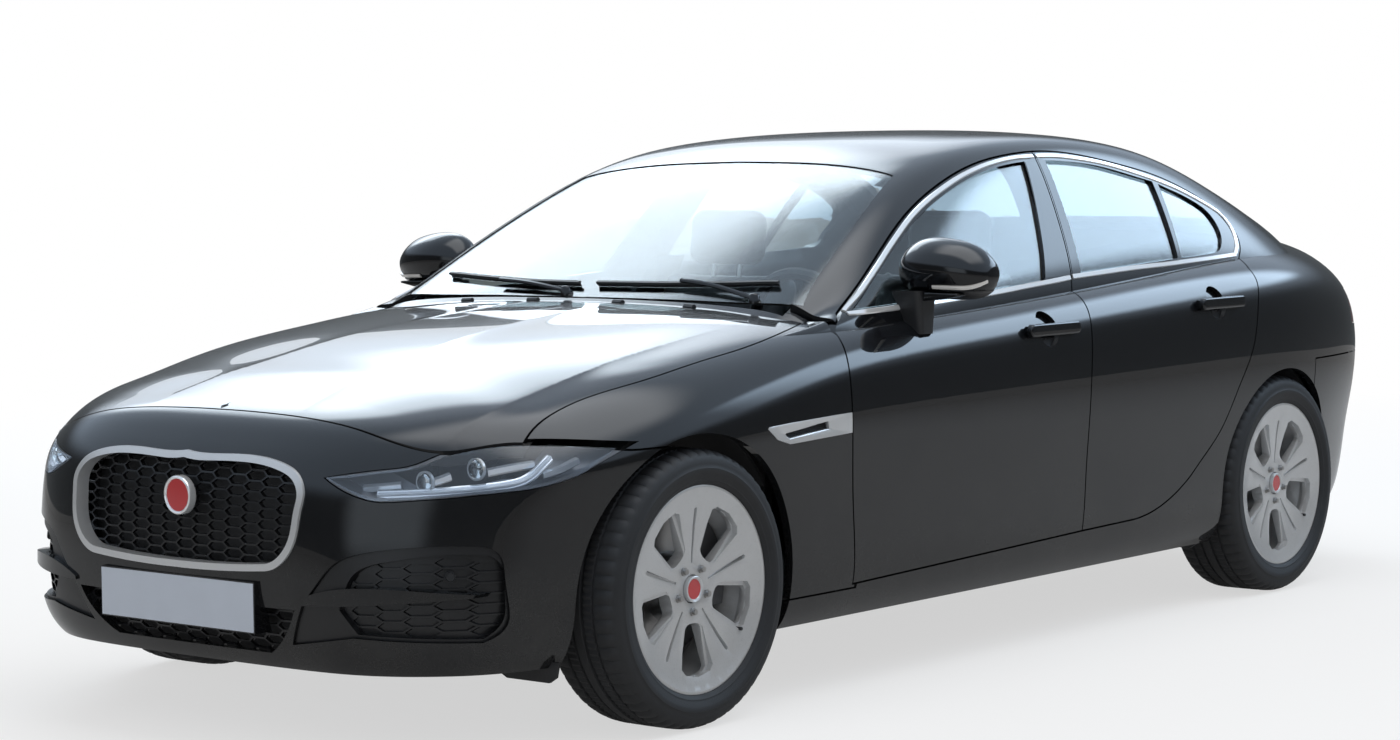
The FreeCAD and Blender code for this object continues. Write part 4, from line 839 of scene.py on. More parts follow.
# Headlamps: clear cover over the bowl, a pale J-shaped light guide and two projector lenses
lamp = {
    "top": [(0.435, -2.274, 0.631), (0.495, -2.252, 0.639), (0.558, -2.218, 0.647), (0.620, -2.171, 0.657),
            (0.648, -2.134, 0.673), (0.685, -2.085, 0.686), (0.726, -2.028, 0.695), (0.758, -1.982, 0.696),
            (0.804, -1.908, 0.692), (0.846, -1.815, 0.684), (0.863, -1.774, 0.680)],
    "low": [(0.435, -2.274, 0.631), (0.493, -2.264, 0.606), (0.532, -2.252, 0.589), (0.562, -2.237, 0.583),
            (0.627, -2.192, 0.586), (0.693, -2.130, 0.592), (0.753, -2.059, 0.597), (0.799, -1.988, 0.604),
            (0.826, -1.935, 0.613), (0.846, -1.886, 0.626), (0.863, -1.774, 0.680)],
    "guide": [(0.556, -2.236, 0.598), (0.620, -2.190, 0.600), (0.684, -2.137, 0.604), (0.740, -2.075, 0.609),
              (0.780, -2.018, 0.617), (0.797, -1.987, 0.632), (0.803, -1.958, 0.655), (0.806, -1.930, 0.676)],
    "lenses": [(0.630, 0.622), (0.706, 0.648)],
    "lensDepth": 0.030, "lensRadius": 0.0205, "lensBulge": 0.016,
    "guideDepth": 0.012, "guideBar": (0.010, -0.010, 0.004), "rimDepth": 0.017,
    "rimBar": (0.022, -0.008, 0.003), "reflectorDepth": 0.030, "coverLift": 0.0005, "lensBack": 0.010,
    "ring": [(-0.002, 0.0212), (-0.004, 0.0225), (-0.004, 0.0255), (0.004, 0.0255), (0.004, 0.0212)],
    "reflector": [(-0.009, -0.006), (0.009, -0.006), (0.009, 0.002), (0, 0.010), (-0.009, 0.002)],
    "reflectors": [[(0.520, 0.617), (0.560, 0.621), (0.598, 0.626)],
                   [(0.656, 0.634), (0.668, 0.640), (0.680, 0.648)],
                   [(0.735, 0.655), (0.765, 0.664), (0.792, 0.670)],
                   [(0.815, 0.640), (0.829, 0.655), (0.838, 0.672)]],
}


def skinGrid(first, second, along, across, lift):
    # a patch of skin between two curves, raised along the normals
    a, b = curveThrough(first, along), curveThrough(second, along)
    rows = []
    for s in np.linspace(0, 1, across):
        q, n = lowerSkin.nearest(a * (1 - s) + b * s)[:2]
        rows.append(q + n * lift)
    return rows


def gridPiece(name, rows, away, body, finish, side=1, thick=0.002):
    # a thin shell whose outer side faces the plan direction away
    bm = bmesh.new()
    grid = [[bm.verts.new(p) for p in turnedSide(row, side)] for row in rows]
    for upper, lower in zip(grid, grid[1:]):
        for i in range(len(upper) - 1):
            bm.faces.new((upper[i], upper[i + 1], lower[i + 1], lower[i]))
    bmesh.ops.remove_doubles(bm, verts=bm.verts, dist=0.0001)
    bmesh.ops.recalc_face_normals(bm, faces=bm.faces)
    middle = sum((f.normal for f in bm.faces), Vector())
    if middle.x * away[0] * side + middle.y * away[1] < 0:
        bmesh.ops.reverse_faces(bm, faces=bm.faces)
    bmesh.ops.solidify(bm, geom=list(bm.faces), thickness=thick)
    return shaped(name, bm, body, finish, 0.9)


for side, sign in sides.items():
    rows = skinGrid(lamp["top"], lamp["low"], 90, 9, lamp["coverLift"])
    gridPiece("lampCover_" + side, rows, (0, -1), "shell", lampGlass, sign)
    q, n = lowerSkin.nearest(curveThrough(lamp["guide"], 60))[:2]
    ribbon("lightGuide_" + side, q - n * lamp["guideDepth"], n, barOutline(*lamp["guideBar"]), "shell",
           lightGuide, sign)
    ribbon("guideRim_" + side, q - n * lamp["rimDepth"], n, barOutline(*lamp["rimBar"]), "shell",
           brightChrome, sign)
    for k, run in enumerate(lamp["reflectors"]):
        q, n = frontPlaces(curveThrough(run, 40))
        ribbon("reflector_%s_%d" % (side, k), q - n * lamp["reflectorDepth"], n, lamp["reflector"], "shell",
               brightChrome, sign)
    radius, quarter = lamp["lensRadius"], np.linspace(0, math.pi / 2, 9)
    dome = [(-lamp["lensBulge"] * math.cos(a), radius * math.sin(a)) for a in quarter]
    for k, p in enumerate(frontPlaces(lamp["lenses"])[0]):
        place = (sign * p[0], p[1] + lamp["lensDepth"], p[2])
        bm = lathe(dome + [(lamp["lensBack"], radius), (lamp["lensBack"], 0)], 28, place, "y")
        shaped("projector_%s_%d" % (side, k), bm, "shell", clearGlass, 0.7)
        bm = lathe(lamp["ring"], 36, place, "y", closed=True)
        shaped("projectorRing_%s_%d" % (side, k), bm, "shell", satinSilver, 0.7)
print("headlamps done")

# Bright strips round the side windows, one run on each door
windowTrim = {
    "frontTop": [(-0.797, 0.947), (-0.700, 0.988), (-0.590, 1.044), (-0.470, 1.109), (-0.347, 1.172),
                 (-0.240, 1.217), (-0.131, 1.254), (-0.030, 1.283), (0.076, 1.306), (0.180, 1.322),
                 (0.274, 1.331), (0.362, 1.334)],
    "frontLow": [(-0.797, 0.941), (-0.500, 0.952), (-0.155, 0.968), (0.044, 0.981), (0.160, 0.988),
                 (0.254, 0.995)],
    "rearTop": [(0.379, 1.335), (0.465, 1.335), (0.555, 1.330), (0.690, 1.316), (0.817, 1.295),
                (0.960, 1.265), (1.070, 1.237), (1.165, 1.204), (1.240, 1.172), (1.272, 1.152),
                (1.289, 1.122), (1.286, 1.090), (1.262, 1.058), (1.225, 1.032)],
    "rearLow": [(0.268, 0.997), (0.400, 1.002), (0.600, 1.010), (0.800, 1.015), (0.952, 1.020),
                (1.100, 1.025), (1.225, 1.030)],
    "steps": {"frontTop": 90, "frontLow": 40, "rearTop": 110, "rearLow": 50},
    "bar": (0.0150, -0.0015, 0.0035, 0.45),
}
outline = barOutline(*windowTrim["bar"])
for side, sign in sides.items():
    for run, count in windowTrim["steps"].items():
        q, n = sidePlaces(curveThrough(windowTrim[run], count))
        body = ("front_door_" if run.startswith("front") else "rear_door_") + side
        ribbon("trim_%s_%s" % (run, side), q, n, outline, body, brightChrome, sign)
print("window strips done")

# Dark panels behind the open meshes of the nose
meshBacks = {
    "Grille": {"half": 0.400, "low": 0.400, "high": 0.682, "depth": 0.070},
    "Lower": {"half": 0.430, "low": 0.190, "high": 0.360, "depth": 0.060},
}
meshLip = (0, 0.004, -0.022)  # closes the view below the mesh
for label, back in meshBacks.items():
    across = np.linspace(-back["half"], back["half"], 41)
    turn = np.array([[math.copysign(1, x), 1, 1] for x in across])
    rows = []
    for z in np.linspace(back["high"], back["low"], 8):
        q, n = frontPlaces([(abs(x), z) for x in across])
        rows.append((q - n * back["depth"]) * turn)
    rows.append(rows[-1] + np.array(meshLip))
    gridPiece("meshBack" + label, rows, (0, -1), "shell", underCoat)

# Wing vents: a broad satin frame round a dark woven mesh
vent = {
    "outer": [(-1.273, 0.688), (-1.268, 0.693), (-1.190, 0.697), (-1.100, 0.700), (-1.000, 0.7035),
              (-0.932, 0.7050), (-0.9315, 0.680), (-0.931, 0.655), (-1.000, 0.6525), (-1.100, 0.6490),
              (-1.186, 0.6460), (-1.236, 0.660)],
    "inner": [(-1.206, 0.6705), (-1.203, 0.6735), (-1.160, 0.6775), (-1.110, 0.6825), (-1.070, 0.6870),
              (-1.031, 0.6900), (-1.0285, 0.681), (-1.027, 0.672), (-1.070, 0.6690), (-1.120, 0.6655),
              (-1.188, 0.6600), (-1.199, 0.665)],
    # the frame's section: share of the way from the outer to the inner loop, then the height
    "section": [(0, -0.002), (0, 0.0022), (0.07, 0.0034), (0.85, 0.0022), (1, 0.0004), (1, -0.010),
                (0.9, -0.010), (0.9, -0.002)],
    "wires": 30, "wireFrom": -1.215, "wirePitch": 0.0072, "wireLow": 0.657, "wireHigh": 0.692,
    "wireRadius": 0.0011, "wireLean": 0.8, "wireDepths": {-1: 0.0085, 1: 0.0075},
}


def finer(loop, parts=4):
    loop = np.array(loop + loop[:1], float)
    return [tuple(a + (b - a) * k / parts) for a, b in zip(loop, loop[1:]) for k in range(parts)]


outer, outerNormals = sidePlaces(finer(vent["outer"]))
inner, innerNormals = sidePlaces(finer(vent["inner"]))
for side, sign in sides.items():
    bm = bmesh.new()
    rings = []
    for share, height in vent["section"]:
        away = (outerNormals if share < 0.5 else innerNormals) * height
        loop = turnedSide(outer * (1 - share) + inner * share + away, sign)
        rings.append([bm.verts.new(p) for p in loop])
    bridgeRings(bm, rings + rings[:1])
    shaped("ventFrame_" + side, bm, "shell", satinSilver, 0.5)
    bm = bmesh.new()
    low, high = vent["wireLow"], vent["wireHigh"]
    for k in range(vent["wires"]):
        for lean, depth in vent["wireDepths"].items():
            y, slant = vent["wireFrom"] + k * vent["wirePitch"], lean * (high - low) / 2 * vent["wireLean"]
            q, n = sidePlaces([(y - slant, low), (y + slant, high)])
            a, b = turnedSide(q - n * depth, sign)
            step = Vector(b - a)
            turn = step.to_track_quat("Z", "Y").to_matrix().to_4x4()
            addRod(bm, Vector((a + b) / 2), vent["wireRadius"], step.length, 5, turn)
    shaped("ventMesh_" + side, bm, "shell", meshPlastic, 0.9)
print("wing vents done")

# Plain badge: red enamel in a bright ring, standing on the grille mesh
badge = {
    "place": (0, -2.322, 0.571), "radius": 0.046, "redShare": 0.80,
    # the ring's section, with the radius as a share of the badge's
    "section": [(0.012, 0), (0.012, 1), (-0.002, 1), (-0.006, 0.97), (-0.0075, 0.90), (-0.006, 0.84),
                (-0.0035, 0.82), (-0.0040, 0.5), (-0.0045, 0)],
    "post": [(0.0, 0.0), (0.0, 0.022), (0.045, 0.022), (0.045, 0.0)],
}
section = [(y, badge["radius"] * share) for y, share in badge["section"]]
bm = lathe(section, 64, badge["place"], "y")
piece = shaped("badge", bm, "shell", [brightChrome, capRed], 0.5)
for polygon in piece.data.polygons:
    middle = Vector(polygon.center) - Vector(badge["place"])
    if math.hypot(middle.x, middle.z) < badge["radius"] * badge["redShare"] and middle.y < 0:
        polygon.material_index = 1
post = lathe(badge["post"], 24, badge["place"], "y")
shaped("badgePost", post, "shell", darkPlastic, 0.5)
print("badge done")


# Solids whose facets are shaded smooth in a copy
def smoothCopy(node, finish, angle=0.6, width=0.0):
    bm = roundedCopy(node, width) if width else mergedCopy(node)
    piece = shaped(node + "_shape", bm, bodyOfNode[node], finish, angle)
    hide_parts(node)
    return piece


smoothCopy("grille_frame", satinSilver, 0.7)
smoothCopy("exhaust", exhaustSteel)
smoothCopy("steering_wheel", darkLeather)
smoothCopy("taillamps", redGlass)
smoothCopy("dashboard", softTrim, width=0.006)
smoothCopy("engine_block", castMetal, width=0.004)

# Door mirrors: painted shell, glass in its frame, pale repeater strip
mirror = {
    "glass": [(0.838, 1.052), (0.852, 1.092), (0.905, 1.108), (0.960, 1.100), (1.008, 1.076), (1.024, 1.040),
              (1.008, 1.002), (0.930, 0.990), (0.842, 1.010)],
    "strip": [(0.908, -0.5735, 1.004), (0.940, -0.5725, 1.003), (0.975, -0.5645, 1.002),
              (1.006, -0.5500, 1.003), (1.026, -0.5330, 1.009), (1.038, -0.5120, 1.018)],
    "arm": [(0.800, 0.9640), (0.830, 0.9600), (0.930, 0.9700), (0.985, 0.9800), (0.985, 0.9860),
            (0.900, 0.9880), (0.800, 0.9880)],
    "armFront": -0.578, "armBack": -0.478, "glassAt": -0.456, "tip": 1.042, "stretch": 1.20,
    "headAbove": 0.9925, "footWithin": 0.8825, "footMiddle": -0.5525, "footLow": 0.89, "footHigh": 0.99,
    "footShare": 0.62, "footGrowth": 0.30, "darkBelow": 0.985, "frameBehind": -0.459, "frameFacing": 0.8,
    "glassShare": 0.985, "glassThick": 0.003, "armEdge": 0.004, "stripBar": (0.012, -0.008, 0.002, 0.5),
}


def plateFrom(points, low, high, side):  # a flat plate of an outline of x and z, between two places on y
    bm = bmesh.new()
    face = bm.faces.new([bm.verts.new((x * side, low, z)) for x, z in points])
    far = bmesh.ops.extrude_face_region(bm, geom=[face])
    moved = [v for v in far["geom"] if isinstance(v, bmesh.types.BMVert)]
    bmesh.ops.translate(bm, vec=(0, high - low, 0), verts=moved)
    return bm


def stretchedX(x):  # the mirror's head is a little longer than its solid
    return mirror["tip"] - (mirror["tip"] - x) * mirror["stretch"]


for side, sign in sides.items():
    body = "front_door_" + side
    piece = smoothCopy("mirror_" + side, [blackPaint, darkPlastic], 0.75)
    for v in piece.data.vertices:
        if v.co.z > mirror["headAbove"]:
            v.co.x = sign * stretchedX(abs(v.co.x))
        elif abs(v.co.x) < mirror["footWithin"]:
            rise = (v.co.z - mirror["footLow"]) / (mirror["footHigh"] - mirror["footLow"])
            narrower = mirror["footShare"] + mirror["footGrowth"] * rise
            v.co.y = mirror["footMiddle"] + (v.co.y - mirror["footMiddle"]) * narrower
    for polygon in piece.data.polygons:
        inFrame = polygon.center.y > mirror["frameBehind"] and polygon.normal.y > mirror["frameFacing"]
        if polygon.center.z < mirror["darkBelow"] or inFrame:
            polygon.material_index = 1
    outline = np.array(mirror["glass"])
    middle = outline.mean(0)
    outline = curveThrough((outline - middle) * mirror["glassShare"] + middle, 70)
    outline[:, 0] = stretchedX(outline[:, 0])
    bm = plateFrom(outline, mirror["glassAt"], mirror["glassAt"] + mirror["glassThick"], sign)
    shaped("mirrorGlass_" + side, bm, body, mirrorSilver, 0.5)
    bm = plateFrom(mirror["arm"], mirror["armFront"], mirror["armBack"], sign)
    softEdges(bm, bm.edges, mirror["armEdge"])
    shaped("mirrorArm_" + side, bm, body, glossBlack, 0.6)
    points = curveThrough(mirror["strip"], 40)
    normals = np.cross(np.gradient(points, axis=0), (0, 0.25, 1.0))
    normals[normals[:, 1] > 0] *= -1
    normals /= np.linalg.norm(normals, axis=1, keepdims=True)
    ribbon("repeater_" + side, points, normals, barOutline(*mirror["stripBar"]), body, repeaterLens,
           sign)
print("mirrors done")

# Tail lamps: light bars inside the lenses, and the lamps' inner parts on the boot lid
tailLamp = {
    "bars": [[(0.668, 2.4, 0.872), (0.760, 2.4, 0.876), (0.850, 2.4, 0.868)],
             [(0.668, 2.4, 0.812), (0.760, 2.4, 0.816), (0.850, 2.4, 0.822)]],
    "top": [(0.400, 0.898), (0.520, 0.902), (0.634, 0.901)],
    "low": [(0.430, 0.788), (0.530, 0.780), (0.634, 0.784)],
    "barDepth": 0.014, "bar": (0.014, -0.006, 0.006), "lift": 0.0022, "thick": 0.0035,
}


def gridOnSkin(first, second, along, across, direction, lift):
    a, b = curveThrough(first, along), curveThrough(second, along)
    flat = np.concatenate([a * (1 - s) + b * s for s in np.linspace(0, 1, across)])
    axis = int(np.argmax(np.abs(direction)))
    q, n = onSkin(np.insert(flat, axis, 0.0, axis=1), direction)
    return (q + n * lift).reshape(across, along, 3)


for side, sign in sides.items():
    for k, bar in enumerate(tailLamp["bars"]):
        q, n = onSkin(curveThrough(bar, 30), (0, -1, 0))
        ribbon("tailBar_%s_%d" % (side, k), q - n * tailLamp["barDepth"], n, barOutline(*tailLamp["bar"]),
               "shell", tailRed, sign)
    rows = gridOnSkin(tailLamp["top"], tailLamp["low"], 24, 12, (0, -1, 0), tailLamp["lift"])
    gridPiece("bootLamp_" + side, rows, (0, 1), "boot_lid", tailRed, sign, tailLamp["thick"])
print("tail lamps done")

# Gloss covers on the door pillars, between the side windows
pillarCovers = {
    "front_door_": [[(0.1290, 0.9985), (0.3050, 1.3170)], [(0.2570, 1.0005), (0.3650, 1.3330)]],
    "rear_door_": [[(0.2720, 1.0010), (0.3800, 1.3340)], [(0.3170, 1.0080), (0.4100, 1.3210)]],
    "rear_door_b": [[(0.8760, 1.0330), (0.9470, 1.2560)], [(0.8950, 1.0340), (0.9750, 1.2490)]],
}
coverLift = 0.0009
for label, (first, second) in pillarCovers.items():
    for side, sign in sides.items():
        body = label.rstrip("b") + side
        rows = gridOnSkin(first, second, 30, 5, (-1, 0, 0), coverLift)
        gridPiece("pillarCover_%s%s" % (label, side), rows, (1, 0), body, glossBlack, sign)
print("pillar covers done")

# Wiper arms and blades at rest on the windscreen, washer nozzles, front parking sensors
wiper = {
    "arms": [[(0.560, -0.868), (0.420, -0.846), (0.300, -0.836)],
             [(-0.070, -0.880), (-0.210, -0.860), (-0.330, -0.848)]],
    "blades": [[(0.590, -0.800), (0.430, -0.828), (0.250, -0.844), (0.020, -0.850)],
               [(-0.040, -0.852), (-0.220, -0.846), (-0.400, -0.826), (-0.570, -0.795)]],
    "bladeSection": [(-0.0012, -0.0029), (0.0012, -0.0029), (0.0016, 0.004), (0.007, 0.008), (0.004, 0.013),
                     (-0.004, 0.013), (-0.007, 0.008), (-0.0016, 0.004)],
    "pivotSection": [(-0.010, 0.0), (-0.010, 0.016), (0.012, 0.014), (0.016, 0.010), (0.017, 0.0)],
    "armGap": 0.004, "armRise": 0.012, "armBar": (0.014, -0.003, 0.005, 0.5),
}
nozzle = {"x": (0.391, 0.150), "run": [(-0.016, -0.921), (0, -0.923), (0.016, -0.924)],
          "bar": (0.018, -0.003, 0.007, 0.5)}
sensor = {"at": (0.701, 0.414), "depth": 0.012,
          "section": [(0.0, 0.0), (0.0, 0.0095), (0.003, 0.0110), (0.003, 0.0125), (0.018, 0.0125)]}

for k, (arm, blade) in enumerate(zip(wiper["arms"], wiper["blades"])):
    q, n = topPlaces(curveThrough(arm, 24))
    rise = np.sin(np.linspace(0, 1, 24) * math.pi / 2)[:, None] * wiper["armRise"] + wiper["armGap"]
    ribbon("wiperArm_%d" % k, q + n * rise, n, barOutline(*wiper["armBar"]), "shell", glossBlack)
    q, n = topPlaces(curveThrough(blade, 50))
    ribbon("wiperBlade_%d" % k, q, n, wiper["bladeSection"], "shell", darkPlastic)
    bm = lathe(wiper["pivotSection"], 24, topPlaces(arm[:1])[0][0], "z")
    shaped("wiperPivot_%d" % k, bm, "shell", glossBlack, 0.7)
for side, sign in sides.items():
    for k, x in enumerate(nozzle["x"]):
        q, n = topPlaces([(sign * (x + dx), y) for dx, y in nozzle["run"]])
        ribbon("nozzle_%s_%d" % (side, k), q, n, barOutline(*nozzle["bar"]), "bonnet", darkPlastic)
    q, n = frontPlaces([sensor["at"]])
    bm = lathe(sensor["section"], 28, (0, 0, 0), "y")
    turn = Vector(-turnedSide(n[0], sign)).to_track_quat("Y", "Z").to_matrix().to_4x4()
    place = Vector(turnedSide(q[0] - n[0] * sensor["depth"], sign))
    bmesh.ops.transform(bm, matrix=Matrix.Translation(place) @ turn, verts=bm.verts)
    shaped("sensor_" + side, bm, "shell", darkPlastic, 0.7)
print("wipers, nozzles and sensors done")

# Rubber air deflectors under the body, ahead of the front and the rear wheels
flaps = {"front": {"y": -1.905, "x": (0.600, 0.800), "z": (0.150, 0.200)},
         "rear": {"y": 0.925, "x": (0.660, 0.835), "z": (0.165, 0.235)}}
flapHalf, flapEdge = 0.004, 0.0015
for side, sign in sides.items():
    for label, flap in flaps.items():
        (x0, x1), (z0, z1) = flap["x"], flap["z"]
        outline = [(x0, z1), (x0 + 0.02, z0 + 0.01), (x0 + 0.04, z0), (x1 - 0.03, z0),
                   (x1 - 0.008, z0 + 0.014), (x1, z1)]
        bm = plateFrom(outline, flap["y"] - flapHalf, flap["y"] + flapHalf, sign)
        softEdges(bm, bm.edges, flapEdge, clamp=False)
        shaped("flap_%s_%s" % (label, side), bm, "shell", darkPlastic, 0.6)

# Exhaust ends: bright tips round the solid pipes, and a dark disc on each pipe's end, painted shade of the
# open pipe's depth
exhaustEnd = {
    "x": 0.520, "z": 0.305,
    "tip": [(2.235, 0.0362), (2.326, 0.0362), (2.329, 0.0385), (2.326, 0.0412), (2.235, 0.0405)],
    "dark": [(2.3052, 0.0), (2.3052, 0.0361), (2.3075, 0.0361), (2.3060, 0.0)],
}
for side, sign in sides.items():
    place = (sign * exhaustEnd["x"], 0, exhaustEnd["z"])
    tip = lathe(exhaustEnd["tip"], 48, place, "y", closed=True)
    shaped("exhaustTip_" + side, tip, "shell", brightChrome, 0.6)
    # painted shade: a dark disc inside the tip, on the solid pipe's end
    dark = lathe(exhaustEnd["dark"], 36, place, "y")
    shaped("exhaustDark_" + side, dark, "shell", underCoat, 0.6)
print("flaps and exhaust ends done")

# Seats: crowned cushions with sewn channels, each on the place of its plain solid
seatSizes = {
    "frontCushion": {"size": (0.500, 0.520, 0.170), "place": (0.4035, -0.070, 0.395), "lean": 0,
                     "seam": 0.135},
    "frontBack": {"size": (0.480, 0.115, 0.530), "place": (0.4035, 0.200, 0.725), "lean": 14, "seam": 0.130},
    "headrest": {"size": (0.270, 0.092, 0.168), "place": (0.4030, 0.247, 1.098), "lean": 8, "seam": None},
    "benchCushion": {"size": (1.150, 0.440, 0.215), "place": (0, 0.783, 0.372), "lean": 0, "seam": 0.19},
    "benchBack": {"size": (1.150, 0.100, 0.495), "place": (0, 0.958, 0.722), "lean": 8, "seam": 0.19},
}
padding = {
    "soft": 0.045, "rim": 0.86, "crown": 0.14, "waist": 0.018, "waistFrom": 0.9,
    "seamDepth": 0.0075, "seamHalf": 0.007, "pipingAt": 0.90, "pipingHalf": 0.018, "pipingShare": 0.6,
    "cuts": 23, "longCuts": 35, "longFrom": 0.8,
}
seatParts = {
    "posts": {"x": 0.403, "apart": 0.05, "y": 0.236, "z": 0.995, "lean": -8, "radius": 0.006, "length": 0.12},
    "base": {"x": 0.4035, "y": -0.065, "depth": 0.42, "edge": 0.006,
             "steps": ((0.2305, 0.262, 0.40), (0.262, 0.330, 0.36))},  # from, to, width
}


def makePad(name, size, place, lean, seam, side=1):
    bm = bmesh.new()
    bmesh.ops.create_cube(bm, size=2)
    cuts = padding["cuts"] if size[0] < padding["longFrom"] else padding["longCuts"]
    bmesh.ops.subdivide_edges(bm, edges=bm.edges, cuts=cuts, use_grid_fill=True)
    thin = int(np.argmin(size))
    wide = [k for k in range(3) if k != thin]
    soft = padding["soft"]
    for v in bm.verts:
        full = Vector([v.co[k] * size[k] / 2 for k in range(3)])
        core = Vector([max(-size[k] / 2 + soft, min(size[k] / 2 - soft, full[k])) for k in range(3)])
        step = full - core
        if step.length > 0:
            full = core + step.normalized() * min(soft, step.length)
        a, b = (abs(v.co[k]) for k in wide)
        crown = (1 - a ** 4) * (1 - b ** 4)
        full[thin] *= padding["rim"] + padding["crown"] * crown
        for k, other in ((wide[0], b), (wide[1], a)):
            full[k] *= 1 - padding["waist"] * (1 - other ** 2) * (abs(v.co[k]) > padding["waistFrom"])
        piping = (max(a, b) - padding["pipingAt"]) / padding["pipingHalf"]
        dip = padding["pipingShare"] * math.exp(-piping ** 2)
        if seam:
            dip = max(dip, math.exp(-((abs(full.x) - seam) / padding["seamHalf"]) ** 2))
        full[thin] -= math.copysign(padding["seamDepth"] * dip, full[thin]) * (abs(v.co[thin]) > 0.5)
        v.co = full
    turn = Matrix.Rotation(math.radians(-lean), 4, "X")
    turn = Matrix.Translation((side * place[0], place[1], place[2])) @ turn
    bmesh.ops.transform(bm, matrix=turn, verts=bm.verts)
    piece = shaped(name, bm, "shell", darkLeather, 1.2)
    return piece


pads = []
for side, sign in sides.items():
    for label in ("frontCushion", "frontBack", "headrest"):
        pads.append(makePad("%s_%s" % (label, side), side=sign, **seatSizes[label]))
for label in ("benchCushion", "benchBack"):
    pads.append(makePad(label, **seatSizes[label]))
posts, base = seatParts["posts"], seatParts["base"]
for side, sign in sides.items():
    bm = bmesh.new()
    for dx in (-posts["apart"], posts["apart"]):
        place = (sign * posts["x"] + dx, posts["y"], posts["z"])
        turn = Matrix.Rotation(math.radians(posts["lean"]), 4, "X")
        addRod(bm, place, posts["radius"], posts["length"], 16, turn)
    pads.append(shaped("headrestPosts_" + side, bm, "shell", brakeSteel, 0.6))
    bm = bmesh.new()
    for low, high, width in base["steps"]:
        scale = Matrix.Diagonal((width, base["depth"], high - low, 1))
        turn = Matrix.Translation((sign * base["x"], base["y"], (low + high) / 2)) @ scale
        bmesh.ops.create_cube(bm, size=1, matrix=turn)
    softEdges(bm, bm.edges, base["edge"], clamp=False)
    pads.append(shaped("seatBase_" + side, bm, "shell", darkPlastic, 0.6))
for pad in pads:
    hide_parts("seats")
print("seats done")


# Stage, lamps and camera


studio = {
    "floorColor": 0.80, "floorGlow": 0.62, "floorMirrored": 0.30, "clearFrom": 4.5, "clearTo": 9.0,
    "floorSize": 60, "worldLight": 0.55, "skyTint": (0.66, 0.80, 0.98, 1.0), "aim": (0, 0, 0.7),
    "fullWithin": 0.22,  # share of a panel's size that glows fully, from its middle
    "ring": {"radius": 13.0, "height": 6.4, "clearBelow": 3.2, "level": 0.11, "tint": (0.86, 0.94, 1.0)},
    "skyPanel": {"place": (-9.5, 7.5, 6.0), "size": (15, 9.5), "strength": 1.1, "color": (0.90, 0.95, 1.0)},
    "screenPanel": {"place": (-7.4, 4.3, 7.2), "size": (9, 6.5), "strength": 3.6, "color": (0.82, 0.92, 1.0)},
    "sidePanel": {"place": (4.4, 9.6, 6.4), "size": (11, 4.6), "strength": 4.5, "color": (0.62, 0.80, 1.0)},
    "nosePanel": {"place": (3.4, -10.8, 2.2), "size": (10, 5), "strength": 0.9, "color": (0.80, 0.90, 1.0)},
    "overhead": {"place": (1.5, 0.0, 7.0), "size": (7, 9), "strength": 1.8, "color": (1.0, 1.0, 1.0)},
}


def stageItem(name, bm, materialName):  # an object with a material of its own, and the material's nodes
    mesh = bpy.data.meshes.new(name)
    bm.to_mesh(mesh)
    bm.free()
    item = bpy.data.objects.new(name, mesh)
    bpy.context.scene.collection.objects.link(item)
    material = bpy.data.materials.new(materialName)
    material.use_nodes = True
    mesh.materials.append(material)
    return item, material.node_tree


def objectPlace(tree):
    return tree.nodes.new("ShaderNodeTexCoord").outputs["Object"]


def objectAxes(tree):
    apart = tree.nodes.new("ShaderNodeSeparateXYZ")
    tree.links.new(objectPlace(tree), apart.inputs[0])
    return apart.outputs


def rampNode(tree, value, low, high, start=0.0, kind="SMOOTHERSTEP"):
    ramp = tree.nodes.new("ShaderNodeMapRange")
    ramp.interpolation_type = kind
    tree.links.new(value, ramp.inputs["Value"])
    setSockets(ramp, {"From_Min": low, "From_Max": high, "To_Min": start})
    return ramp.outputs[0]


def rayKinds(tree):  # mirror-like rays, and all rays by which the camera sees something
    path = tree.nodes.new("ShaderNodeLightPath").outputs
    seen = mathNode(tree, "MAXIMUM", path["Is Glossy Ray"], path["Is Transmission Ray"])
    return path["Is Glossy Ray"], mathNode(tree, "MAXIMUM", path["Is Camera Ray"], seen)


def joinedShaders(tree, kind, shaders, share=None):  # mixed by the share, or added
    node = tree.nodes.new(kind)
    inputs = list(node.inputs)
    if share is not None:
        tree.links.new(share, inputs.pop(0))
    for shader, socket in zip(shaders, inputs):
        tree.links.new(shader, socket)
    return node.outputs[0]


def makeFloor():
    bm = bmesh.new()
    bmesh.ops.create_grid(bm, x_segments=1, y_segments=1, size=studio["floorSize"])
    floor, tree = stageItem("Floor", bm, "PaleFloor")
    shader = tree.nodes["Principled BSDF"]
    color = (studio["floorColor"],) * 3
    setSockets(shader, {"Base_Color": color, "Roughness": 0.9, "Specular_IOR_Level": 0.1})
    length = tree.nodes.new("ShaderNodeVectorMath")
    length.operation = "LENGTH"
    tree.links.new(objectPlace(tree), length.inputs[0])
    away = rampNode(tree, length.outputs["Value"], studio["clearFrom"], studio["clearTo"],
                    studio["floorGlow"], "LINEAR")
    mirrored, seen = rayKinds(tree)
    lost = mathNode(tree, "MULTIPLY", mirrored, 1 - studio["floorMirrored"])
    glow = tree.nodes.new("ShaderNodeEmission")
    tree.links.new(mathNode(tree, "SUBTRACT", 1.0, lost), glow.inputs["Strength"])
    share = mathNode(tree, "MULTIPLY", seen, away)
    mixed = joinedShaders(tree, "ShaderNodeMixShader", (shader.outputs[0], glow.outputs[0]), share)
    tree.links.new(mixed, tree.nodes["Material Output"].inputs[0])


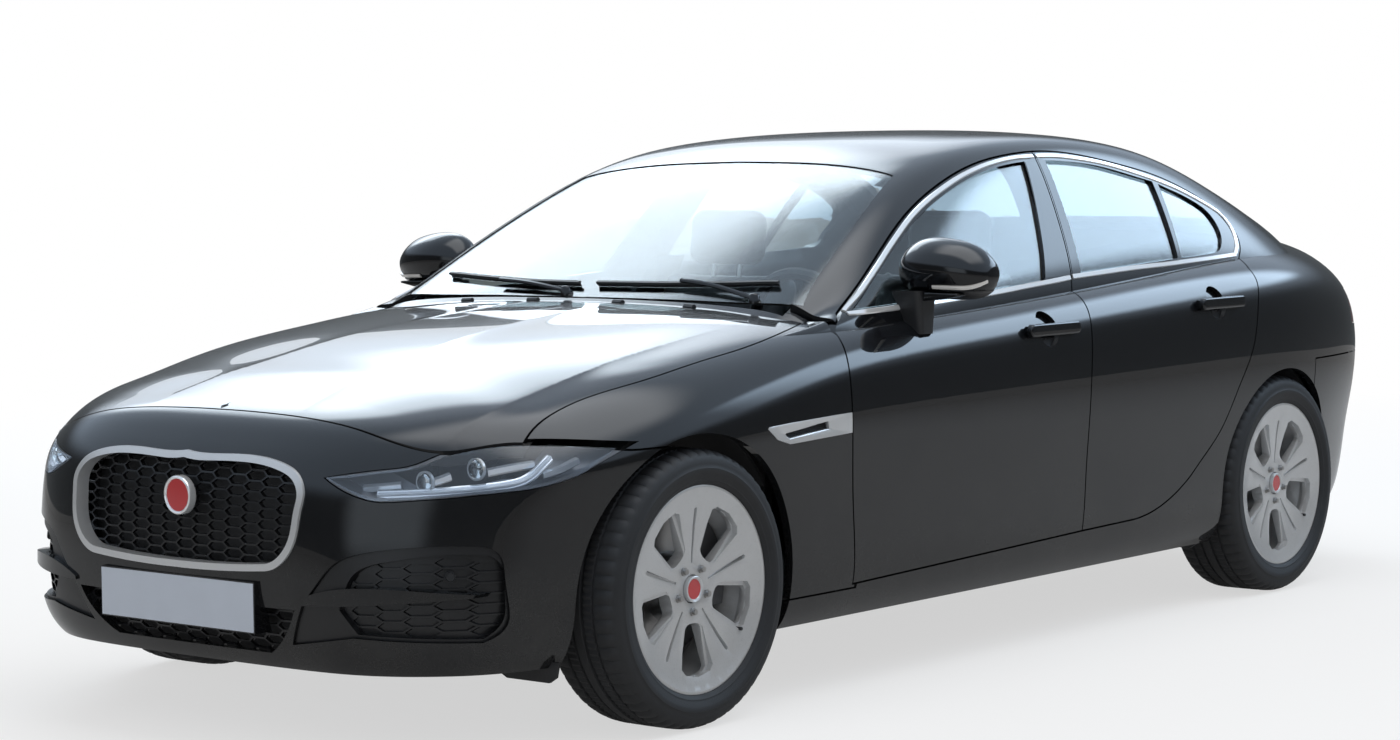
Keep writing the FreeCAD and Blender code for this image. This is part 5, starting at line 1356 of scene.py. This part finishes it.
def makeWorld():
    world = bpy.data.worlds.new("StudioWorld")
    bpy.context.scene.world = world
    world.use_nodes = True
    tree = world.node_tree
    background = tree.nodes["Background"]
    mirrored, seen = rayKinds(tree)
    low = studio["worldLight"]
    tree.links.new(mathNode(tree, "MULTIPLY_ADD", seen, 1 - low, low), background.inputs["Strength"])
    tree.links.new(mixColor(tree, mirrored, (1.0, 1.0, 1.0, 1.0), studio["skyTint"]),
                   background.inputs["Color"])


def glowingSheet(tree, color):
    tree.nodes.clear()
    glow = tree.nodes.new("ShaderNodeEmission")
    setSockets(glow, {"Color": color})
    return glow, tree.nodes.new("ShaderNodeBsdfTransparent").outputs[0]


def softPanel(name, place, size, strength, color):
    # a glowing sheet whose light fades out towards its edges
    bm = bmesh.new()
    bmesh.ops.create_grid(bm, x_segments=1, y_segments=1, size=0.5)
    bmesh.ops.scale(bm, vec=(*size, 1), verts=bm.verts)
    panel, tree = stageItem(name, bm, name + "Light")
    panel.location = place
    panel.rotation_euler = (Vector(studio["aim"]) - Vector(place)).to_track_quat("Z", "Y").to_euler()
    panel.visible_camera = False
    glow, clearShader = glowingSheet(tree, color)
    axes = objectAxes(tree)
    fades = [rampNode(tree, mathNode(tree, "ABSOLUTE", axes[k]), full / 2, full * studio["fullWithin"])
             for k, full in zip("XY", size)]
    share = mathNode(tree, "MULTIPLY", *fades)
    tree.links.new(mathNode(tree, "MULTIPLY", share, strength), glow.inputs["Strength"])
    added = joinedShaders(tree, "ShaderNodeAddShader", (glow.outputs[0], clearShader))
    tree.links.new(added, tree.nodes.new("ShaderNodeOutputMaterial").inputs[0])


def darkRing():  # a dark wall all round that only mirror-like surfaces meet, fading out upwards
    size = studio["ring"]
    bm = bmesh.new()
    ends = [bm.verts.new((size["radius"], 0, z)) for z in (0.0, size["height"])]
    edge = bm.edges.new(ends)
    bmesh.ops.spin(bm, geom=[edge] + ends, cent=(0, 0, 0), axis=(0, 0, 1), angle=2 * math.pi, steps=64,
                   use_merge=True, use_duplicate=False)
    ring, tree = stageItem("DarkRing", bm, "DarkWall")
    ring.visible_camera = ring.visible_diffuse = ring.visible_transmission = ring.visible_shadow = False
    glow, clearShader = glowingSheet(tree, size["tint"])
    setSockets(glow, {"Strength": size["level"]})
    share = rampNode(tree, objectAxes(tree)["Z"], size["clearBelow"], size["height"])
    mixed = joinedShaders(tree, "ShaderNodeMixShader", (glow.outputs[0], clearShader), share)
    tree.links.new(mixed, tree.nodes.new("ShaderNodeOutputMaterial").inputs[0])


makeFloor()
makeWorld()
darkRing()
for label in ("skyPanel", "screenPanel", "sidePanel", "nosePanel", "overhead"):
    softPanel(label, **studio[label])

view = {
    "place": (5.35848, -7.04638, 1.32861), "yaw": 38.8626, "pitch": 3.8993, "roll": -0.5481, "lens": 78.69,
}


def makeCamera():
    camera = bpy.data.cameras.new("PhotoCamera")
    camera.sensor_width, camera.lens, camera.clip_end = 36, view["lens"], 200
    holder = bpy.data.objects.new("PhotoCamera", camera)
    bpy.context.scene.collection.objects.link(holder)
    yaw, pitch, roll = (math.radians(view[k]) for k in ("yaw", "pitch", "roll"))
    ahead = Vector((-math.sin(yaw) * math.cos(pitch), math.cos(yaw) * math.cos(pitch), -math.sin(pitch)))
    right = ahead.cross(Vector((0, 0, 1))).normalized()
    up = right.cross(ahead)
    rolledRight = right * math.cos(roll) + up * math.sin(roll)
    rolledUp = up * math.cos(roll) - right * math.sin(roll)
    turn = Matrix((rolledRight, rolledUp, -ahead)).transposed()
    holder.matrix_world = Matrix.Translation(view["place"]) @ turn.to_4x4()
    bpy.context.scene.camera = holder


makeCamera()
bpy.context.scene.view_settings.view_transform = "Standard"
print("stage ready")
